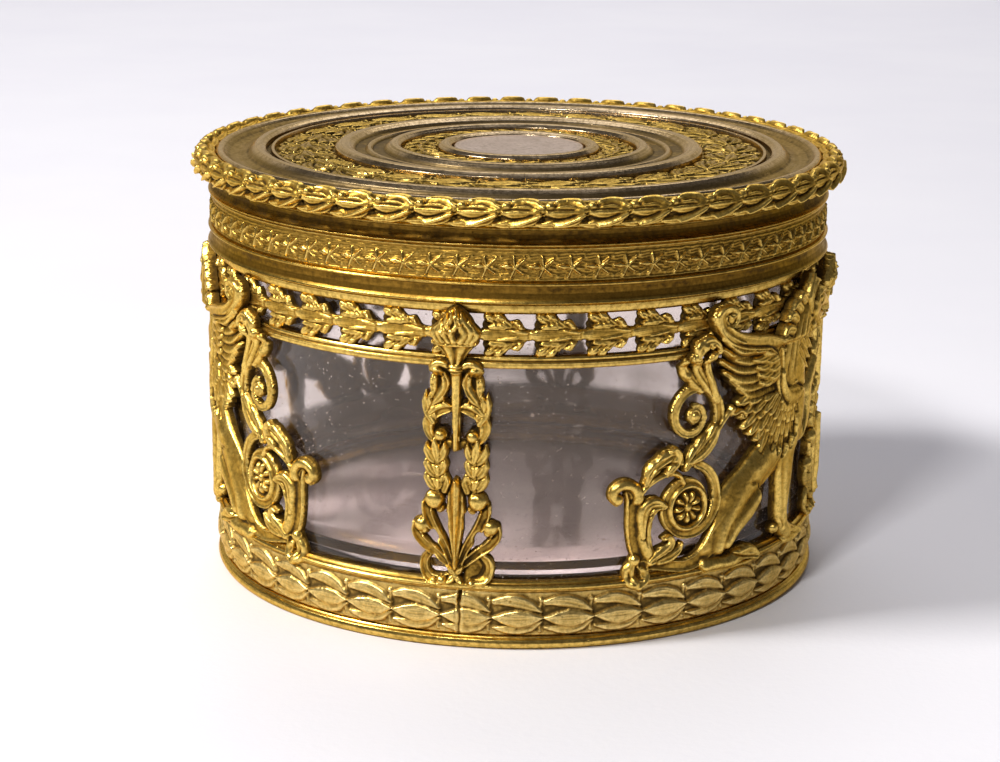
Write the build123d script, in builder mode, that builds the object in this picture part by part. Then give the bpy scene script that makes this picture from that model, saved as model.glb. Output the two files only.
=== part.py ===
from build123d import *
import math
import os

# Round decorative box: a thick glass cup held in a pierced gilt mount, with a
# turned lid that lifts straight off.
# Millimetres. +Z is up, the origin is the middle of the underside.
# The front torch stands at -Y, the other three at +X, +Y and -X.
# Ornament outlines are drawn flat as (u, z): u is the arc length round the
# reference cylinder, measured from a torch's middle, and z is the height.

# ---------------------------------------------------------------- dimensions
REF_R = 46.0            # radius at which u is an arc length
CAGE_IN_R = 44.65       # inside of the whole mount, just clear of the glass

FOOT_R = 46.5           # bead on which the box stands
FOOT_TOP_Z = 1.8
LEDGE_R = 39.0          # inner edge of the ledge that carries the glass
BAND_R = 46.0           # laurel band of the base
BAND_TOP_Z = 8.5
SEAM_U = 0.5            # butt joint of the bent band, under the front torch
SEAM_W = 0.25
MOULD_TOP_Z = 9.9       # top of the base moulding
MOULD_R = 46.3
MOULD_TOP_R = 45.3

GLASS_R = 44.5
GLASS_IN_R = 42.2
GLASS_BOTTOM_Z = 1.8
GLASS_FLOOR_Z = 8.8
GLASS_TOP_Z = 49.75         # level with the upper rail

RAIL_LO_Z0, RAIL_LO_Z1 = 40.4, 42.2     # lower rail of the gallery
RAIL_HI_Z0, RAIL_HI_Z1 = 48.0, 49.75    # upper rail of the gallery
RAIL_R = 45.9
BRANCH_IN_R, BRANCH_OUT_R = 44.8, 45.7  # pierced branch between the rails
UNITS = 40                              # leaf units round the gallery

ORN_LOW_IN, ORN_LOW_OUT = 44.8, 47.2    # castings below the gallery
ORN_UP_IN, ORN_UP_OUT = 45.9, 48.1      # the same castings over the gallery
ORN_JOIN_Z = 38.6                       # the two radii overlap from here
ORN_TOP_Z = 49.7

GAP = 0.35                              # lid to cage, all round
FLANGE_Z0, FLANGE_Z1 = RAIL_HI_Z1 + GAP, 52.9
FLANGE_R = 47.0
STAR_Z1 = 57.8
STAR_R = 46.75
COVE_Z1 = 60.9
LID_WALL_IN = 44.3
COLLAR_R, COLLAR_IN_R = GLASS_IN_R - GAP, 40.9   # drops inside the glass
COLLAR_Z0 = 47.75
RIM_MAJOR, RIM_TUBE, RIM_Z = 46.97, 2.03, 62.15
TOP_R = 45.4                            # turned top plate
TOP_UNDER_Z = 61.2
DISC_R = 9.95
IN_BAND_R0, IN_BAND_R1 = 12.2, 17.8     # inner chased band
OUT_BAND_R0, OUT_BAND_R1 = 27.8, 36.8   # outer chased band

FRONT = Plane(origin=(0, 0, 0), x_dir=(1, 0, 0), z_dir=(0, -1, 0))
GRIFFIN_U = 45.5                        # middle of a griffin, arc length
GRIFFIN_A = GRIFFIN_U / REF_R           # the same as an angle
GRIFFIN_PLANE = Plane(
    origin=(0, 0, 0),
    x_dir=(math.cos(GRIFFIN_A), math.sin(GRIFFIN_A), 0),
    z_dir=(math.sin(GRIFFIN_A), -math.cos(GRIFFIN_A), 0),
)


# ------------------------------------------------------------- outline maths
def flat(points, u0):
    """(u, z) on the cylinder to the flat drawing of a plane tangent at u0."""
    return [(REF_R * math.sin((u - u0) / REF_R), z) for u, z in points]


def smooth(points, steps=2):
    """More points along a smooth curve through the given ones."""
    out = []
    n = len(points)
    for i in range(n - 1):
        p0 = points[max(i - 1, 0)]
        p1, p2 = points[i], points[i + 1]
        p3 = points[min(i + 2, n - 1)]
        for k in range(steps):
            t = k / steps
            out.append(
                tuple(
                    0.5
                    * (
                        2 * b
                        + (c - a) * t
                        + (2 * a - 5 * b + 4 * c - d) * t * t
                        + (3 * b - a - 3 * c + d) * t**3
                    )
                    for a, b, c, d in zip(p0, p1, p2, p3)
                )
            )
    out.append(tuple(points[-1]))
    return out


def ribbon(points, w0, w1=None, steps=2):
    """Closed outline of a ribbon along points, w0 wide at the start."""
    w1 = w0 if w1 is None else w1
    line = smooth(points, steps)
    n = len(line)
    left, right = [], []
    for i, (x, y) in enumerate(line):
        ax, ay = line[max(i - 1, 0)]
        bx, by = line[min(i + 1, n - 1)]
        d = math.hypot(bx - ax, by - ay)
        nx, ny = -(by - ay) / d, (bx - ax) / d
        h = 0.5 * (w0 + (w1 - w0) * i / (n - 1))
        left.append((x + nx * h, y + ny * h))
        right.append((x - nx * h, y - ny * h))
    return left + right[::-1]


def mirrored(points):
    return [(-x, y) for x, y in reversed(points)]


def ring_cut(r_out, r_in):
    """A washer sketch in the current sketch."""
    Circle(r_out)
    Circle(r_in, mode=Mode.SUBTRACT)


# --------------------------------------------------------------------- base
# Foot ring: a bead outside and a ledge inside that carries the glass.
with BuildPart() as foot_ring:
    with BuildSketch(Plane.XZ):
        with BuildLine():
            Polyline(
                (LEDGE_R, 0.5), (43.2, 0.5), (43.6, 0.0), (FOOT_R - 0.9, 0.0),
                (FOOT_R - 0.25, 0.3), (FOOT_R, 0.9), (FOOT_R - 0.25, 1.5),
                (FOOT_R - 0.7, FOOT_TOP_Z), (LEDGE_R, FOOT_TOP_Z), close=True,
            )
        make_face()
    revolve(axis=Axis.Z)
foot_ring.part.label = "foot_ring"

# Laurel band: a strip bent round, with its butt joint under the front torch.
with BuildPart() as base_laurel_band:
    with BuildSketch(Plane.XZ):
        with BuildLine():
            Polyline(
                (CAGE_IN_R, FOOT_TOP_Z), (45.6, FOOT_TOP_Z), (BAND_R, 3.0),
                (BAND_R + 0.1, 5.2), (BAND_R, 7.3), (45.6, BAND_TOP_Z),
                (CAGE_IN_R, BAND_TOP_Z), close=True,
            )
        make_face()
    revolve(axis=Axis.Z)
    with BuildSketch(Plane.XY.offset(FOOT_TOP_Z)):
        with Locations((SEAM_U, -45.5)):
            Rectangle(SEAM_W, 4)
    extrude(amount=BAND_TOP_Z - FOOT_TOP_Z, mode=Mode.SUBTRACT)
base_laurel_band.part.label = "base_laurel_band"

# Moulding on which the griffins and torches stand.
with BuildPart() as base_moulding:
    with BuildSketch(Plane.XZ):
        with BuildLine():
            Polyline(
                (CAGE_IN_R, BAND_TOP_Z), (45.7, BAND_TOP_Z), (MOULD_R, 8.9),
                (MOULD_R - 0.1, 9.3), (45.7, 9.6), (MOULD_TOP_R, MOULD_TOP_Z),
                (CAGE_IN_R, MOULD_TOP_Z), close=True,
            )
        make_face()
    revolve(axis=Axis.Z)
base_moulding.part.label = "base_moulding"

# -------------------------------------------------------------------- glass
# Thick-bottomed cup, standing on the ledge of the foot ring.
with BuildPart() as glass_cup:
    with BuildSketch(Plane.XZ):
        with BuildLine():
            Polyline(
                (0, GLASS_BOTTOM_Z), (GLASS_R - 1.0, GLASS_BOTTOM_Z),
                (GLASS_R - 0.3, GLASS_BOTTOM_Z + 0.3),
                (GLASS_R, GLASS_BOTTOM_Z + 1.0), (GLASS_R, GLASS_TOP_Z - 0.3),
                (GLASS_R - 0.3, GLASS_TOP_Z), (GLASS_IN_R + 0.3, GLASS_TOP_Z),
                (GLASS_IN_R, GLASS_TOP_Z - 0.3), (GLASS_IN_R, GLASS_FLOOR_Z + 5.2),
                (GLASS_IN_R - 0.4, GLASS_FLOOR_Z + 3.2),
                (GLASS_IN_R - 1.5, GLASS_FLOOR_Z + 1.5),
                (GLASS_IN_R - 3.2, GLASS_FLOOR_Z + 0.4),
                (GLASS_IN_R - 5.2, GLASS_FLOOR_Z), (0, GLASS_FLOOR_Z), close=True,
            )
        make_face()
    revolve(axis=Axis.Z)
glass_cup.part.label = "glass_cup"

# ------------------------------------------------------------------ gallery
with BuildPart() as gallery_lower_rail:
    with BuildSketch(Plane.XZ):
        with BuildLine():
            Polyline(
                (CAGE_IN_R, RAIL_LO_Z0), (RAIL_R, RAIL_LO_Z0), (RAIL_R, 41.6),
                (RAIL_R - 0.25, 41.9), (RAIL_R - 0.25, RAIL_LO_Z1),
                (CAGE_IN_R, RAIL_LO_Z1), close=True,
            )
        make_face()
    revolve(axis=Axis.Z)
gallery_lower_rail.part.label = "gallery_lower_rail"

with BuildPart() as gallery_top_rail:
    with BuildSketch(Plane.XZ):
        with BuildLine():
            Polyline(
                (CAGE_IN_R, RAIL_HI_Z0), (RAIL_R - 0.3, RAIL_HI_Z0),
                (RAIL_R - 0.3, 48.4), (RAIL_R, 48.8), (RAIL_R, 49.5),
                (RAIL_R - 0.25, RAIL_HI_Z1), (CAGE_IN_R, RAIL_HI_Z1), close=True,
            )
        make_face()
    revolve(axis=Axis.Z)
gallery_top_rail.part.label = "gallery_top_rail"

# The pierced branch: one band, a pair of openings for each leaf unit.
with BuildPart() as branch_opening:
    with BuildSketch(FRONT):
        with BuildLine():
            Polyline(
                (-4.2, 47.85), (-0.2, 47.85), (-0.35, 46.4), (-1.1, 46.05),
                (-1.6, 46.85), (-2.5, 47.2), (-3.3, 47.15), close=True,
            )
        make_face()
        with BuildLine():
            Polyline(
                (-4.2, 42.35), (-0.2, 42.35), (-0.35, 43.8), (-1.1, 44.15),
                (-1.6, 43.35), (-2.5, 43.0), (-3.3, 43.05), close=True,
            )
        make_face()
    extrude(amount=60)
with BuildPart() as gallery_branch:
    with BuildSketch(Plane.XY.offset(RAIL_LO_Z1)):
        ring_cut(BRANCH_OUT_R, BRANCH_IN_R)
    extrude(amount=RAIL_HI_Z0 - RAIL_LO_Z1)
    with PolarLocations(0, UNITS, start_angle=math.degrees(-3.4 / REF_R)):
        add(branch_opening.part, mode=Mode.SUBTRACT)
gallery_branch.part.label = "gallery_branch"


# ------------------------------------------------------------------ castings
def ornament(plane, polygons, discs, holes, u0):
    """One casting: the flat outline, wrapped on the cage at two radii."""
    with BuildPart() as cast:
        with BuildSketch(plane):
            for pts in polygons:
                with BuildLine():
                    Polyline(*flat(pts, u0), close=True)
                make_face()
            for u, z, r in discs:
                with Locations(flat([(u, z)], u0)[0]):
                    Circle(r)
            for u, z, r in holes:
                with Locations(flat([(u, z)], u0)[0]):
                    Circle(r, mode=Mode.SUBTRACT)
        extrude(amount=60)
        with BuildSketch(Plane.XZ):
            with BuildLine():
                Polyline(
                    (ORN_LOW_IN, MOULD_TOP_Z), (ORN_LOW_OUT, MOULD_TOP_Z),
                    (ORN_LOW_OUT, ORN_JOIN_Z), (ORN_UP_OUT, ORN_JOIN_Z + 1.2),
                    (ORN_UP_OUT, ORN_TOP_Z), (ORN_UP_IN, ORN_TOP_Z),
                    (ORN_UP_IN, RAIL_LO_Z0), (ORN_LOW_IN, RAIL_LO_Z0), close=True,
                )
            make_face()
        revolve(axis=Axis.Z, mode=Mode.INTERSECT)
    return cast.part


# Torch over a palmette, symmetrical: the right half, then its mirror image.
TORCH_MIDDLE = [
    # flame
    [(0, 49.6), (1.2, 48.9), (2.2, 47.8), (3.0, 46.4), (2.9, 45.3), (2.3, 44.2),
     (-2.3, 44.2), (-2.9, 45.3), (-3.0, 46.4), (-2.2, 47.8), (-1.2, 48.9)],
    # cup, collar and shaft
    [(2.85, 44.7), (2.85, 43.9), (2.2, 42.9), (1.5, 41.8), (1.1, 41.2), (1.1, 40.1),
     (0.68, 40.0), (0.45, 31.0), (0.6, 28.8), (0, 27.6), (-0.6, 28.8), (-0.45, 31.0),
     (-0.68, 40.0), (-1.1, 40.1), (-1.1, 41.2), (-1.5, 41.8), (-2.2, 42.9),
     (-2.85, 43.9), (-2.85, 44.7)],
    # bridge at the foot of the shaft
    [(-3.6, 30.9), (-3.6, 29.7), (3.6, 29.7), (3.6, 30.9)],
    # middle petal of the palmette
    [(0, 24.6), (0.9, 23.7), (1.5, 22.5), (1.3, 18.5), (0.7, 12.0), (-0.7, 12.0),
     (-1.3, 18.5), (-1.5, 22.5), (-0.9, 23.7)],
    # sole on the base moulding
    [(-4.6, 9.5), (4.6, 9.5), (4.6, 11.2), (-4.6, 11.2)],
]
TORCH_SIDE = [
    ribbon([(0.3, 38.2), (1.3, 38.9), (2.2, 40.1)], 0.8),
    ribbon([(2.3, 39.6), (3.1, 38.4), (3.8, 36.6), (4.0, 34.5), (3.8, 32.4),
            (3.1, 31.0), (2.2, 30.9)], 1.1),
    ribbon([(0.2, 35.3), (1.4, 34.6), (2.6, 34.9), (3.9, 36.4)], 0.9),
    [(1.0, 30.4), (1.5, 28.5), (1.1, 26.0), (1.3, 23.2), (3.6, 23.2), (4.5, 25.0),
     (4.1, 27.0), (4.6, 28.6), (4.2, 30.4)],
    ribbon([(2.0, 23.6), (2.8, 22.6), (3.3, 21.9)], 1.6),
    ribbon([(3.9, 21.3), (4.5, 19.5), (3.8, 17.8), (2.6, 16.0), (1.5, 13.9),
            (0.5, 12.0)], 0.85),
    ribbon([(5.9, 17.3), (6.15, 16.4), (5.4, 15.3), (4.0, 14.2), (2.4, 13.2),
            (0.6, 12.0)], 0.85),
    [(0, 10.4), (4.5, 10.4), (4.9, 11.4), (4.6, 13.0), (3.6, 14.0), (2.5, 13.7),
     (1.4, 12.8), (0, 12.6)],
]
TORCH_DISCS = [
    (2.2, 40.1, 0.8), (2.0, 31.0, 0.85), (3.2, 21.7, 1.4), (5.2, 17.8, 1.1),
]
TORCH_HOLES = [(2.7, 12.6, 0.7)]


def torch(plane):
    return ornament(
        plane,
        TORCH_MIDDLE + TORCH_SIDE + [mirrored(p) for p in TORCH_SIDE],
        TORCH_DISCS + [(-u, z, r) for u, z, r in TORCH_DISCS],
        TORCH_HOLES + [(-u, z, r) for u, z, r in TORCH_HOLES],
        0.0,
    )


with BuildPart() as torch_front:
    add(torch(FRONT))
torch_front.part.label = "torch_front"
with BuildPart() as torch_right:
    with Locations(Rotation(0, 0, 90)):
        add(torch_front.part)
torch_right.part.label = "torch_right"
with BuildPart() as torch_back:
    with Locations(Rotation(0, 0, 180)):
        add(torch_front.part)
torch_back.part.label = "torch_back"
with BuildPart() as torch_left:
    with Locations(Rotation(0, 0, 270)):
        add(torch_front.part)
torch_left.part.label = "torch_left"

# Seated griffin with its scrolled tail: front right, the others are mirrored.
GRIFFIN = [
    # head, neck, chest, legs and haunch
    [(45.2, 28.0), (43.0, 24.8), (40.7, 22.6), (38.9, 20.9), (38.0, 18.7),
     (36.7, 15.9), (35.6, 13.7), (35.3, 9.7), (47.1, 9.7), (47.1, 11.9),
     (45.4, 13.2), (41.7, 13.2), (40.1, 13.4), (43.1, 15.1), (45.4, 16.9),
     (47.0, 18.7), (47.3, 20.4), (50.5, 21.6), (51.5, 22.3), (51.7, 19.1),
     (51.7, 15.5), (51.2, 13.7), (51.2, 9.7), (59.9, 9.7), (59.4, 12.3),
     (55.5, 14.1), (55.2, 15.5), (55.7, 19.1), (56.6, 21.6), (57.0, 24.2),
     (58.6, 25.9), (60.3, 28.7), (60.7, 31.6), (60.3, 35.1), (61.1, 35.6),
     (61.9, 38.4), (62.4, 42.3), (64.8, 43.6), (67.2, 44.7), (64.3, 45.9),
     (62.5, 46.9), (59.8, 48.0), (57.1, 46.9), (55.4, 45.9), (53.8, 45.5),
     (51.3, 43.7), (50.2, 42.3), (50.8, 38.7), (50.6, 33.0)],
    # wing
    [(40.5, 41.6), (41.6, 43.4), (44.3, 42.8), (47.4, 42.5), (49.4, 41.2),
     (50.8, 39.8), (51.9, 37.0), (52.5, 32.0), (55.4, 30.1), (50.3, 26.5),
     (48.0, 27.8), (46.0, 28.5), (44.9, 29.2), (44.5, 30.3), (43.7, 32.5),
     (45.8, 34.4), (42.9, 35.3), (41.2, 36.6), (39.8, 37.6), (39.0, 39.2),
     (38.5, 40.5)],
    # wing-tip volute
    ribbon([(41.9, 42.2), (39.7, 42.4), (37.9, 43.4), (36.9, 45.2), (37.4, 47.2),
            (39.3, 48.0), (41.1, 47.2), (41.4, 45.6), (40.1, 44.7)], 1.3, 0.8),
    # raised foreleg
    ribbon([(58.6, 25.6), (61.8, 26.2), (63.4, 28.6), (63.4, 31.4), (64.6, 33.4),
            (66.8, 34.4)], 2.2, 1.5),
    # calyx above the upper scroll
    ribbon([(39.5, 41.9), (37.7, 41.3), (36.0, 41.8), (35.5, 39.4), (36.1, 37.3),
            (37.2, 35.8)], 1.2),
    ribbon([(36.1, 42.6), (36.5, 40.5), (36.3, 37.5)], 1.4),
    ribbon([(33.3, 40.8), (34.2, 38.8), (35.1, 36.4)], 1.1),
    ribbon([(32.4, 38.8), (33.2, 37.2), (34.4, 35.6)], 1.1),
    # upper scroll
    ribbon([(36.6, 28.8), (37.8, 31.2), (37.5, 33.6), (35.9, 35.6), (33.4, 36.2),
            (31.0, 35.2), (30.0, 32.9), (30.7, 30.7), (32.8, 29.9), (34.9, 30.8),
            (35.5, 32.6), (34.2, 34.0)], 1.5, 0.9),
    # tendril to the wing
    ribbon([(37.8, 29.6), (39.3, 31.6), (40.9, 32.4), (43.0, 32.0), (45.2, 31.8)],
           0.9),
    # stem between the scrolls
    ribbon([(37.0, 30.2), (35.5, 27.9), (33.7, 26.6), (31.8, 25.6)], 1.8),
    # lower spiral
    ribbon([(31.6, 25.4), (34.9, 25.2), (37.2, 22.9), (37.8, 19.9), (36.7, 16.9),
            (33.8, 15.3), (30.7, 16.2), (28.6, 18.6), (28.5, 21.4), (30.0, 23.4),
            (32.7, 24.2), (34.9, 23.0)], 1.1),
    # leaf and thin ribbon over the spiral
    [(25.7, 23.9), (26.7, 26.2), (29.1, 28.3), (30.9, 28.2), (32.0, 26.4),
     (31.8, 24.4), (29.1, 24.6), (26.9, 23.0)],
    # outer stem with its ball
    ribbon([(22.5, 22.8), (24.3, 23.6), (25.1, 21.4), (24.9, 18.7), (25.2, 15.9),
            (26.2, 13.4), (28.9, 12.5), (32.7, 12.0), (35.7, 13.0), (37.1, 14.8)],
           1.8, 1.2),
    ribbon([(29.1, 21.2), (26.7, 20.8), (26.2, 18.6), (26.8, 15.8), (28.4, 13.8),
            (30.7, 12.6)], 1.0),
    [(27.1, 13.2), (28.4, 15.2), (29.9, 16.3), (31.7, 14.6), (32.8, 12.2)],
    # foot leaf
    [(23.6, 9.7), (26.6, 9.7), (27.2, 13.2), (24.8, 14.0), (24.0, 12.0)],
]
GRIFFIN_DISCS = [
    (37.0, 41.7, 0.8), (33.3, 40.9, 0.8), (32.4, 38.9, 0.75), (33.1, 20.0, 3.1),
    (42.9, 31.9, 0.75), (22.2, 23.2, 1.3), (25.0, 13.4, 0.9), (33.8, 33.2, 0.95),
    (29.6, 19.6, 0.9), (36.4, 18.6, 0.9),
]

with BuildPart() as griffin_front_right:
    add(ornament(GRIFFIN_PLANE, GRIFFIN, GRIFFIN_DISCS, [], GRIFFIN_U))
griffin_front_right.part.label = "griffin_front_right"
with BuildPart() as griffin_front_left:
    mirror(griffin_front_right.part, about=Plane.YZ)
griffin_front_left.part.label = "griffin_front_left"
with BuildPart() as griffin_back_right:
    mirror(griffin_front_right.part, about=Plane.XZ)
griffin_back_right.part.label = "griffin_back_right"
with BuildPart() as griffin_back_left:
    mirror(griffin_back_right.part, about=Plane.YZ)
griffin_back_left.part.label = "griffin_back_left"

# ---------------------------------------------------------------------- lid
# Ring that drops inside the glass cup and keeps the lid centred.
with BuildPart() as lid_collar:
    with BuildSketch(Plane.XZ):
        with BuildLine():
            Polyline(
                (COLLAR_IN_R, COLLAR_Z0), (COLLAR_R - 0.3, COLLAR_Z0),
                (COLLAR_R, COLLAR_Z0 + 0.4), (COLLAR_R, FLANGE_Z1),
                (COLLAR_IN_R, FLANGE_Z1), close=True,
            )
        make_face()
    revolve(axis=Axis.Z)
lid_collar.part.label = "lid_collar"

# Lip ring, slightly hollow between its two beads.
with BuildPart() as lid_lip_ring:
    with BuildSketch(Plane.XZ):
        with BuildLine():
            Polyline(
                (COLLAR_R, FLANGE_Z0), (FLANGE_R - 0.2, FLANGE_Z0),
                (FLANGE_R + 0.1, FLANGE_Z0 + 0.3), (FLANGE_R - 0.15, 50.8),
                (FLANGE_R - 0.35, 51.6), (FLANGE_R - 0.25, 52.4),
                (FLANGE_R, 52.7), (FLANGE_R - 0.1, FLANGE_Z1),
                (COLLAR_R, FLANGE_Z1), close=True,
            )
        make_face()
    revolve(axis=Axis.Z)
lid_lip_ring.part.label = "lid_lip_ring"

with BuildPart() as lid_star_band:
    with BuildSketch(Plane.XY.offset(FLANGE_Z1)):
        ring_cut(STAR_R, LID_WALL_IN)
    extrude(amount=STAR_Z1 - FLANGE_Z1)
lid_star_band.part.label = "lid_star_band"

# Hollow cove between the star band and the rim.
with BuildPart() as lid_cove_ring:
    with BuildSketch(Plane.XZ):
        with BuildLine():
            Polyline(
                (LID_WALL_IN, STAR_Z1), (STAR_R + 0.15, STAR_Z1),
                (STAR_R + 0.15, 58.1), (46.2, 58.5), (45.9, 59.2),
                (46.0, 59.9), (45.4, COVE_Z1 - 0.3), (45.4, COVE_Z1 + 0.3),
                (LID_WALL_IN, COVE_Z1 + 0.3), close=True,
            )
        make_face()
    revolve(axis=Axis.Z)
lid_cove_ring.part.label = "lid_cove_ring"

# Laurel rim: a round bead with a flat back against the top plate.
with BuildPart() as lid_laurel_rim:
    with BuildSketch(Plane.XZ):
        with Locations((RIM_MAJOR, RIM_Z)):
            Circle(RIM_TUBE)
        with Locations((TOP_R - 2.0, RIM_Z)):
            Rectangle(4.0, 6.0, mode=Mode.SUBTRACT)
    revolve(axis=Axis.Z)
    # clear of the cove ring below it
    with BuildSketch(Plane.XZ):
        with BuildLine():
            Polyline(
                (COLLAR_R, 58.0), (46.2, 58.0), (46.0, 59.9),
                (45.4, COVE_Z1 - 0.3), (COLLAR_R, COVE_Z1 - 0.3), close=True,
            )
        make_face()
    revolve(axis=Axis.Z, mode=Mode.SUBTRACT)
lid_laurel_rim.part.label = "lid_laurel_rim"

# Top plate, turned in steps, with seats for the disc and the two bands.
with BuildPart() as lid_top_plate:
    with BuildSketch(Plane.XZ):
        with BuildLine():
            Polyline(
                (0, TOP_UNDER_Z), (TOP_R, TOP_UNDER_Z), (TOP_R, 63.0), (44.9, 63.4),
                (44.3, 63.2), (43.6, 62.7), (42.2, 62.45), (40.8, 62.8),
                (40.2, 63.6), (39.6, 64.0), (38.7, 64.0), (38.1, 63.6),
                (38.1, 62.6), (37.4, 62.6), (37.4, 63.5), (OUT_BAND_R1, 63.5),
                (OUT_BAND_R1, 62.5), (OUT_BAND_R0, 62.5), (OUT_BAND_R0, 63.6),
                (27.1, 64.0), (25.7, 64.0), (25.0, 63.6), (24.6, 63.0),
                (23.2, 62.9), (22.8, 63.4), (22.4, 63.4), (22.0, 62.9),
                (20.4, 62.9), (19.9, 63.6), (19.4, 64.0), (18.3, 64.0),
                (IN_BAND_R1, 63.6), (IN_BAND_R1, 62.6), (IN_BAND_R0, 62.6),
                (IN_BAND_R0, 63.6), (11.8, 64.0), (10.6, 64.0), (10.2, 63.7),
                (DISC_R + 0.05, 63.0), (0, 63.0), close=True,
            )
        make_face()
    revolve(axis=Axis.Z)
lid_top_plate.part.label = "lid_top_plate"

with BuildPart() as lid_centre_disc:
    with BuildSketch(Plane.XY.offset(63.0)):
        Circle(DISC_R - 0.15)
    extrude(amount=0.6)
    chamfer(lid_centre_disc.edges().sort_by(Axis.Z)[-1], 0.2)
lid_centre_disc.part.label = "lid_centre_disc"

with BuildPart() as lid_inner_leaf_band:
    with BuildSketch(Plane.XY.offset(62.6)):
        ring_cut(IN_BAND_R1 - 0.1, IN_BAND_R0 + 0.1)
    extrude(amount=0.7)
lid_inner_leaf_band.part.label = "lid_inner_leaf_band"

with BuildPart() as lid_outer_leaf_band:
    with BuildSketch(Plane.XY.offset(62.5)):
        ring_cut(OUT_BAND_R1 - 0.1, OUT_BAND_R0 + 0.1)
    extrude(amount=0.7)
lid_outer_leaf_band.part.label = "lid_outer_leaf_band"

# ------------------------------------------------------------------- export
PIECES = [
    foot_ring, base_laurel_band, base_moulding, glass_cup,
    gallery_lower_rail, gallery_branch, gallery_top_rail,
    torch_front, torch_right, torch_back, torch_left,
    griffin_front_right, griffin_front_left, griffin_back_right,
    griffin_back_left,
    lid_collar, lid_lip_ring, lid_star_band, lid_cove_ring, lid_laurel_rim,
    lid_top_plate, lid_centre_disc, lid_inner_leaf_band, lid_outer_leaf_band,
]
os.makedirs("parts", exist_ok=True)
for piece in PIECES:
    export_step(piece.part, "parts/" + piece.part.label + ".step")
    print(piece.part.label, len(piece.part.solids()), round(piece.part.volume))
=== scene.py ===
import math

import bpy
import numpy as np
from mathutils import Matrix, Vector


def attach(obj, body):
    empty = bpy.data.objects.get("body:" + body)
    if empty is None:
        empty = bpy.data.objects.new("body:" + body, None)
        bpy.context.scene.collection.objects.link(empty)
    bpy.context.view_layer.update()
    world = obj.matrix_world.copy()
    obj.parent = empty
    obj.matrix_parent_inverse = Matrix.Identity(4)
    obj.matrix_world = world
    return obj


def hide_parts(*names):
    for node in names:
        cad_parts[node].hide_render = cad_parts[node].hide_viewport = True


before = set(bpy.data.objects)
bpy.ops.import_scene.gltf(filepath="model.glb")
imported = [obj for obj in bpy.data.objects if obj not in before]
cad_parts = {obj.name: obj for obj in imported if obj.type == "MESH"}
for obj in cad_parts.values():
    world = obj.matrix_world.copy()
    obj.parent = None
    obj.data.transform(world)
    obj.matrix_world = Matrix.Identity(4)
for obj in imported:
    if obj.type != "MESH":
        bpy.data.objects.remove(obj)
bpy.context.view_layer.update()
MM = 0.001
TAU = 2 * math.pi

# millimetres everywhere below, turned into metres when a mesh is made
# ---------------------------------------------------------------- relief engine
# A casting is drawn in the unrolled plane: u runs along the wall of the box (mm), z is height (mm).
# S is the signed distance to the outline (positive inside), H the relief over the back of the casting.

def rng_of(seed):
    return np.random.RandomState(seed)


def blur1(a, s, axis):
    if s < 0.15:
        return a
    r = max(1, int(3 * s + 0.5))
    k = np.exp(-0.5 * (np.arange(-r, r + 1) / s) ** 2)
    k /= k.sum()
    out = np.zeros_like(a)
    n = a.shape[axis]
    idx = np.arange(n)
    for i, w in zip(range(-r, r + 1), k):
        out += w * np.take(a, np.clip(idx + i, 0, n - 1), axis=axis)
    return out


def blur(a, s):
    return blur1(blur1(a, s, 0), s, 1)


def blur_wrap(a, s):
    # wraps along axis 1, clamps along axis 0
    r = max(1, int(3 * s + 0.5))
    k = np.exp(-0.5 * (np.arange(-r, r + 1) / s) ** 2)
    k /= k.sum()
    out = np.zeros_like(a)
    for i, w in zip(range(-r, r + 1), k):
        out += w * np.roll(a, -i, axis=1)
    return blur1(out, s, 0)


def vnoise(x, y, seed, px=None):
    # smooth value noise, repeating every px cells along x when px is given
    r = rng_of(seed)
    n = 257
    t = r.rand(n, n).astype(np.float32)
    xi = np.floor(x).astype(np.int64)
    yi = np.floor(y).astype(np.int64)
    fx = x - xi
    fy = y - yi
    fx = fx * fx * (3 - 2 * fx)
    fy = fy * fy * (3 - 2 * fy)
    if px is None:
        x0, x1 = xi % n, (xi + 1) % n
    else:
        x0, x1 = (xi % px) % n, ((xi + 1) % px) % n
    y0, y1 = yi % n, (yi + 1) % n
    return (t[y0, x0] * (1 - fx) + t[y0, x1] * fx) * (1 - fy) + (t[y1, x0] * (1 - fx) + t[y1, x1] * fx) * fy


def spline(pts, step=0.12, closed=False):
    P = np.array(pts, float)
    n = len(P)
    if n == 2:
        m = max(2, int(np.hypot(*(P[1] - P[0])) / step) + 1)
        t = np.linspace(0, 1, m)[:, None]
        return P[0] * (1 - t) + P[1] * t
    if closed:
        Q = np.vstack([P[-1], P, P[0], P[1]])
        segs = n
    else:
        Q = np.vstack([2 * P[0] - P[1], P, 2 * P[-1] - P[-2]])
        segs = n - 1
    out = []
    for i in range(segs):
        p0, p1, p2, p3 = Q[i:i + 4]
        m = max(2, int(np.hypot(*(p2 - p1)) / step) + 1)
        a, b, c = [max(1e-3, np.hypot(*d)) ** 0.5 for d in (p1 - p0, p2 - p1, p3 - p2)]
        t = np.linspace(0, b, m, endpoint=False)[:, None]
        A1 = (p0 * (0 - t) + p1 * (t + a)) / a
        A2 = (p1 * (b - t) + p2 * t) / b
        A3 = (p2 * (b + c - t) + p3 * (t - b)) / c
        B1 = (A1 * (b - t) + A2 * (t + a)) / (a + b)
        B2 = (A2 * (b + c - t) + A3 * t) / (b + c)
        out.append((B1 * (b - t) + B2 * t) / b)
    if not closed:
        out.append(P[-1:])
    return np.vstack(out)


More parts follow.
